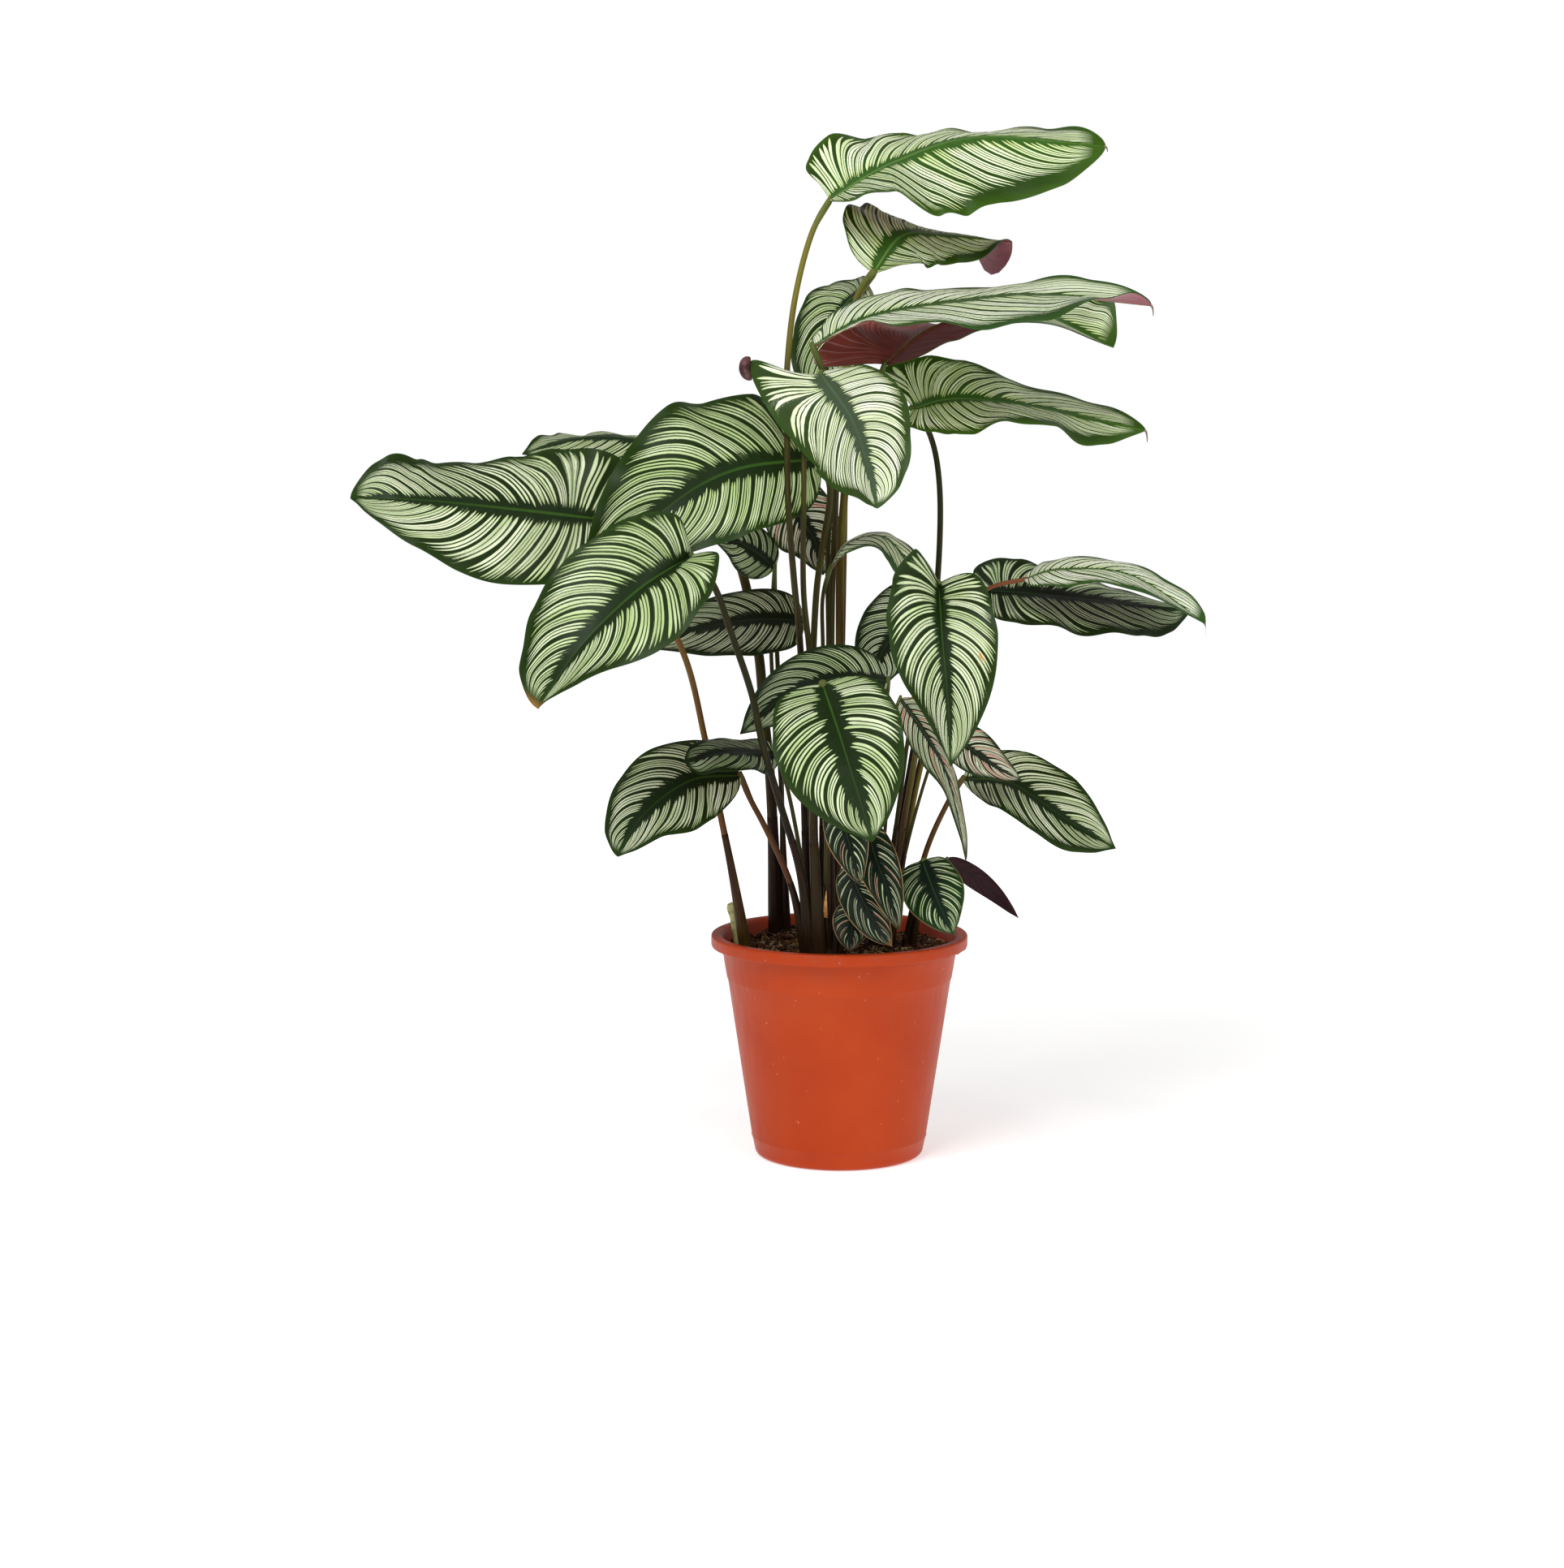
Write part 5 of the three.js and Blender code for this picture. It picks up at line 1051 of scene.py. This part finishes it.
# Stems
def add_tube(places, faces, points, radii, sides, squash=None):
    """Adds a closed round tube along points."""
    way = np.gradient(points, axis=0)
    way /= np.linalg.norm(way, axis=1, keepdims=True)
    side = np.cross(way[0], [0.3, 1, 0.2])
    start = len(places)
    turn = np.arange(sides) * 2 * math.pi / sides
    for k, (point, ahead) in enumerate(zip(points, way)):
        side = side - ahead * (side @ ahead)
        side /= np.linalg.norm(side)
        other = np.cross(ahead, side)
        wide = 1 if squash is None else squash[k]
        for a in turn:
            places.append(point + radii[k] * (side * math.cos(a) * wide + other * math.sin(a)))
    rings = len(points)
    for k in range(rings - 1):
        for j in range(sides):
            n = (j + 1) % sides
            low, high = start + k * sides, start + (k + 1) * sides
            faces.append([low + j, low + n, high + n, high + j])
    places.append(points[0] - way[0] * radii[0] * 0.2)
    places.append(points[-1] + way[-1] * radii[-1] * 0.35)
    base, tip = len(places) - 2, len(places) - 1
    for j in range(sides):
        n = (j + 1) % sides
        faces.append([start + n, start + j, base])
        faces.append([start + (rings - 1) * sides + j, start + (rings - 1) * sides + n, tip])


def stem_points(stem):
    """The route of a stem, carried on straight into the base of its leaf, as in the part."""
    route = np.array(stem["route"], float)
    leaf = next((leaf for leaf in LEAVES if leaf["node"] == stem["leaf"]), None)
    if leaf is None:
        return route
    start = np.array(leaf["rib"][0], float)
    step = start - route[-1]
    return np.vstack([route, start, start + step / np.linalg.norm(step) * NEST])


def stem_marks(way, length, look):
    """stem_spot and stem_look for the places of one tube, its two ends last."""
    along = np.concatenate([np.repeat(way, STEM_SIDES), way[[0, -1]]])
    around = np.concatenate([np.tile(np.arange(STEM_SIDES) / STEM_SIDES, len(way)), [0, 0]])
    spot = np.stack([around, along, np.clip(along / length, 0, 1)], 1)
    return spot, np.tile(look, (len(spot), 1))


def add_shoot(shoot):
    """The stems of one shoot with their sheaths and the crown that they stand in."""
    places, faces, spots, looks = [], [], [], []
    for number, stem in enumerate(shoot["stems"]):
        seed = shoot["crown"][0] + number * 3.7
        route = stem_points(stem)
        length = np.linalg.norm(np.diff(route, axis=0), axis=1).sum()
        points, way = on_stem(route, max(16, int(length / STEM_STEP)))
        share = way / way[-1]
        radii = stem["r"] * (1.1 - 0.22 * share)
        if stem["leaf"] is not None:
            radii *= 1 + NECK_SWELL * smooth(way[-1] - NECK_FROM, way[-1] - NECK_FULL, way)
        radii[-1] *= 0.8
        if stem["leaf"] is None:
            radii *= 1 + 0.4 * smooth(way[-1] - 12, way[-1] - 4, way)
        add_tube(places, faces, points, radii, STEM_SIDES)
        tone = stem.get("tone", STEM_TONE)
        spot, look = stem_marks(way, way[-1], [tone, seed, -stem.get("brown", 0)])
        paler = stem.get("top_tone", tone) - tone
        turned = [paler, 0, -stem.get("brown_top", 0)]
        look = look + np.outer(smooth(0.7, 0.85, spot[:, 2]), turned)
        spots.append(spot)
        looks.append(look)
        if stem["leaf"] is None:
            continue
        top = min(SHEATH_SHARE * way[-1], SHEATH_MAX) + SHEATH_SUNK
        low = way < top
        sheath = smooth(0, 1, (top - way[low]) / top)
        add_tube(places, faces, points[low], radii[low] + 0.15 + 1.5 * sheath, STEM_SIDES,
                 1 + 0.18 * sheath)
        spot, look = stem_marks(way[low], way[-1], [tone * 0.7, seed + 9, 1])
        spots.append(spot)
        looks.append(look)
    x, y, r = shoot["crown"]
    profile = [(0, 150), (r * 0.6, 150), (r, 158), (r, 168), (r * 0.93, 173),
               (r * 0.8, 177), (r * 0.5, 179), (0, 179.5)]
    clump, ring = lathe(profile, 28)
    clump = np.array(clump)
    around = np.arctan2(clump[:, 1], clump[:, 0])
    clump[:, :2] *= (1 - 0.09 + 0.09 * np.sin(around * 5 + x) * np.sin(around * 3 + y))[:, None]
    clump[:, 2] += 1.2 * np.sin(around * 4 + y) * (clump[:, 2] > 165)
    start = len(places)
    places += list(clump + [x, y, 0])
    faces += [[start + c for c in f] for f in ring]
    spots.append(np.stack([around / (2 * math.pi), clump[:, 2], 0 * around], 1))
    looks.append(np.tile([0.1, x, 1], (len(clump), 1)))
    piece = make_mesh(shoot["node"].replace("shoot_", "stems_"), np.array(places), faces,
                      [CUT_STEM if shoot["node"] == "stem_cut" else STEM_SKIN],
                      attributes=[("stem_spot", np.vstack(spots)), ("stem_look", np.vstack(looks))])
    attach(piece, "root")
    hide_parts(shoot["node"])


def add_hooked_tip(leaf, drop):
    """The thin drip tip that some blades carry on into, dried and hooked down."""
    end, ahead = midrib(leaf["rib"], np.array([1.0]))
    steps = np.linspace(0, 1, 7)[:, None]
    points = end[0] + ahead[0] * (5 * steps - 1 - 2.5 * steps**2) - [0, 0, drop] * steps**2
    places, faces = [], []
    add_tube(places, faces, points, np.linspace(0.75, 0.22, 7), 8, [1.5] * 7)
    piece = make_mesh(leaf["node"].replace("leaf_", "") + "_tip",
                      np.clip(places, BOX_LOW, BOX_HIGH), faces, [DRY_TIP])
    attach(piece, "root")


def add_rolled_edge():
    """The rolled back lobe edge of the front upper leaf, showing its dark underside."""
    points = np.array([[-72.4, -23.6, 650], [-75.6, -24.6, 646.5], [-76.4, -28, 641],
                       [-75, -32.5, 636], [-71.4, -37.2, 632.4]])
    route, _ = on_stem(points, 14)
    share = np.linspace(0, 1, 14)
    radii = 0.9 + 3.9 * np.sin(math.pi * share**0.8) ** 0.7
    places, faces = [], []
    add_tube(places, faces, route, radii, 16)
    piece = make_mesh("front_upper_rolled_edge", np.array(places), faces,
                      [plain_bits("leaf_underside_roll", "#3c2224", "#6a4848", 0.5, 90.0)])
    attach(piece, "root")


def add_dry_sheath():
    """The dry pointed end of a young leaf's sheath, standing at the front of its stem."""
    points = np.array([[-12, -49.8, 204], [-12.2, -50.2, 211], [-12, -50.5, 218],
                       [-11.5, -50.6, 226]])
    places, faces = [], []
    add_tube(places, faces, points, [0.8, 0.8, 0.6, 0.2], 10, [2.4, 2.3, 2, 1.5])
    piece = make_mesh("dry_sheath_end", np.array(places), faces,
                      [plain_bits("dry_sheath", "#c8965c", "#a8713c", 0.6, 300.0)])
    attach(piece, "root")


# The object
for number, leaf in enumerate(LEAVES):
    leaf["seed"] = 1.7 * number + 0.3
    add_blade(leaf)
STEM_SKIN = stem_skin()
CUT_STEM = plain_bits("cut_stem_flesh", "#77803a", "#c2bf86", 0.55, 120.0)
for shoot in SHOOTS:
    add_shoot(shoot)
DRY_TIP = plain_bits("dried_drip_tip", "#6c5650", "#8c7468", 0.6, 400.0)
for leaf in LEAVES:
    if "hook" in leaf:
        add_hooked_tip(leaf, leaf["hook"])
add_rolled_edge()
add_dry_sheath()
add_pot()
add_soil()
bark = plain_bits("bark_crumb", "#1c0f06", "#56321a", 0.9, 300.0)
perlite = plain_bits("perlite_grain", "#d8d2c2", "#a59c88", 0.8, 500.0)
moss = plain_bits("moss_tuft", "#4a3f1a", "#8f8238", 0.9, 600.0)
straw = plain_bits("coir_fibre", "#7c5a30", "#cbb78a", 0.7, 60.0)
add_lumps("bark_crumbs", 620, (0.9, 3.4), 0.8, bark, 3, 0.35)
add_lumps("perlite_grains", 90, (0.4, 1.1), 0.8, perlite, 4, 1.0)
add_lumps("moss_tufts", 800, (0.4, 1.3), 0.7, moss, 5, 0.8, patchy=True)
add_fibres("coir_fibres", 800, (3, 13), (0.12, 0.36), straw, 6)


# Studio
def add_light(name, place, aim, size, power):
    """A soft square light aimed at a point."""
    data = bpy.data.lights.new(name, "AREA")
    data.shape, data.size, data.energy = "SQUARE", size, power
    lamp = bpy.data.objects.new(name, data)
    bpy.context.scene.collection.objects.link(lamp)
    lamp.location = place
    way = np.array(aim) - place
    lamp.rotation_euler = (math.acos(-way[2] / np.linalg.norm(way)), 0,
                           math.atan2(way[1], way[0]) - math.pi / 2)


def add_studio():
    """A pale floor, a white surround, two soft lights and the camera of the photograph."""
    scene = bpy.context.scene
    floor = make_mesh("floor", [(-4000, -4000, -0.3), (4000, -4000, -0.3), (4000, 4000, -0.3),
                                (-4000, 4000, -0.3)], [[0, 1, 2, 3]], [floor_paper()])
    world = bpy.data.worlds.new("studio")
    scene.world = world
    world.use_nodes = True
    world.node_tree.nodes.clear()
    seen = add(world.node_tree, "Background", {"Color": (1, 1, 1, 1), "Strength": 1.0})[0]
    cast = add(world.node_tree, "Background", {"Color": (1, 1, 1, 1), "Strength": 0.42})[0]
    path = add(world.node_tree, "LightPath")["Is Camera Ray"]
    both = add(world.node_tree, "MixShader", {0: path, 1: cast, 2: seen})[0]
    add(world.node_tree, "OutputWorld", {"Surface": both})
    add_light("key", (-1.1, -2.0, 2.6), (0, 0, 0.45), 1.5, 62)
    add_light("fill", (1.9, -1.9, 1.3), (0, 0, 0.4), 1.8, 24)
    scene.view_settings.view_transform = "Standard"
    data = bpy.data.cameras.new("camera")
    data.sensor_width, data.lens = SENSOR_MM, FOCAL_PX * SENSOR_MM / PHOTO_H_PX
    camera = bpy.data.objects.new("camera", data)
    scene.collection.objects.link(camera)
    camera.location = EYE
    camera.rotation_euler = (math.pi / 2 - TILT, 0, 0)
    data.clip_end = 50
    scene.camera = camera


add_studio()
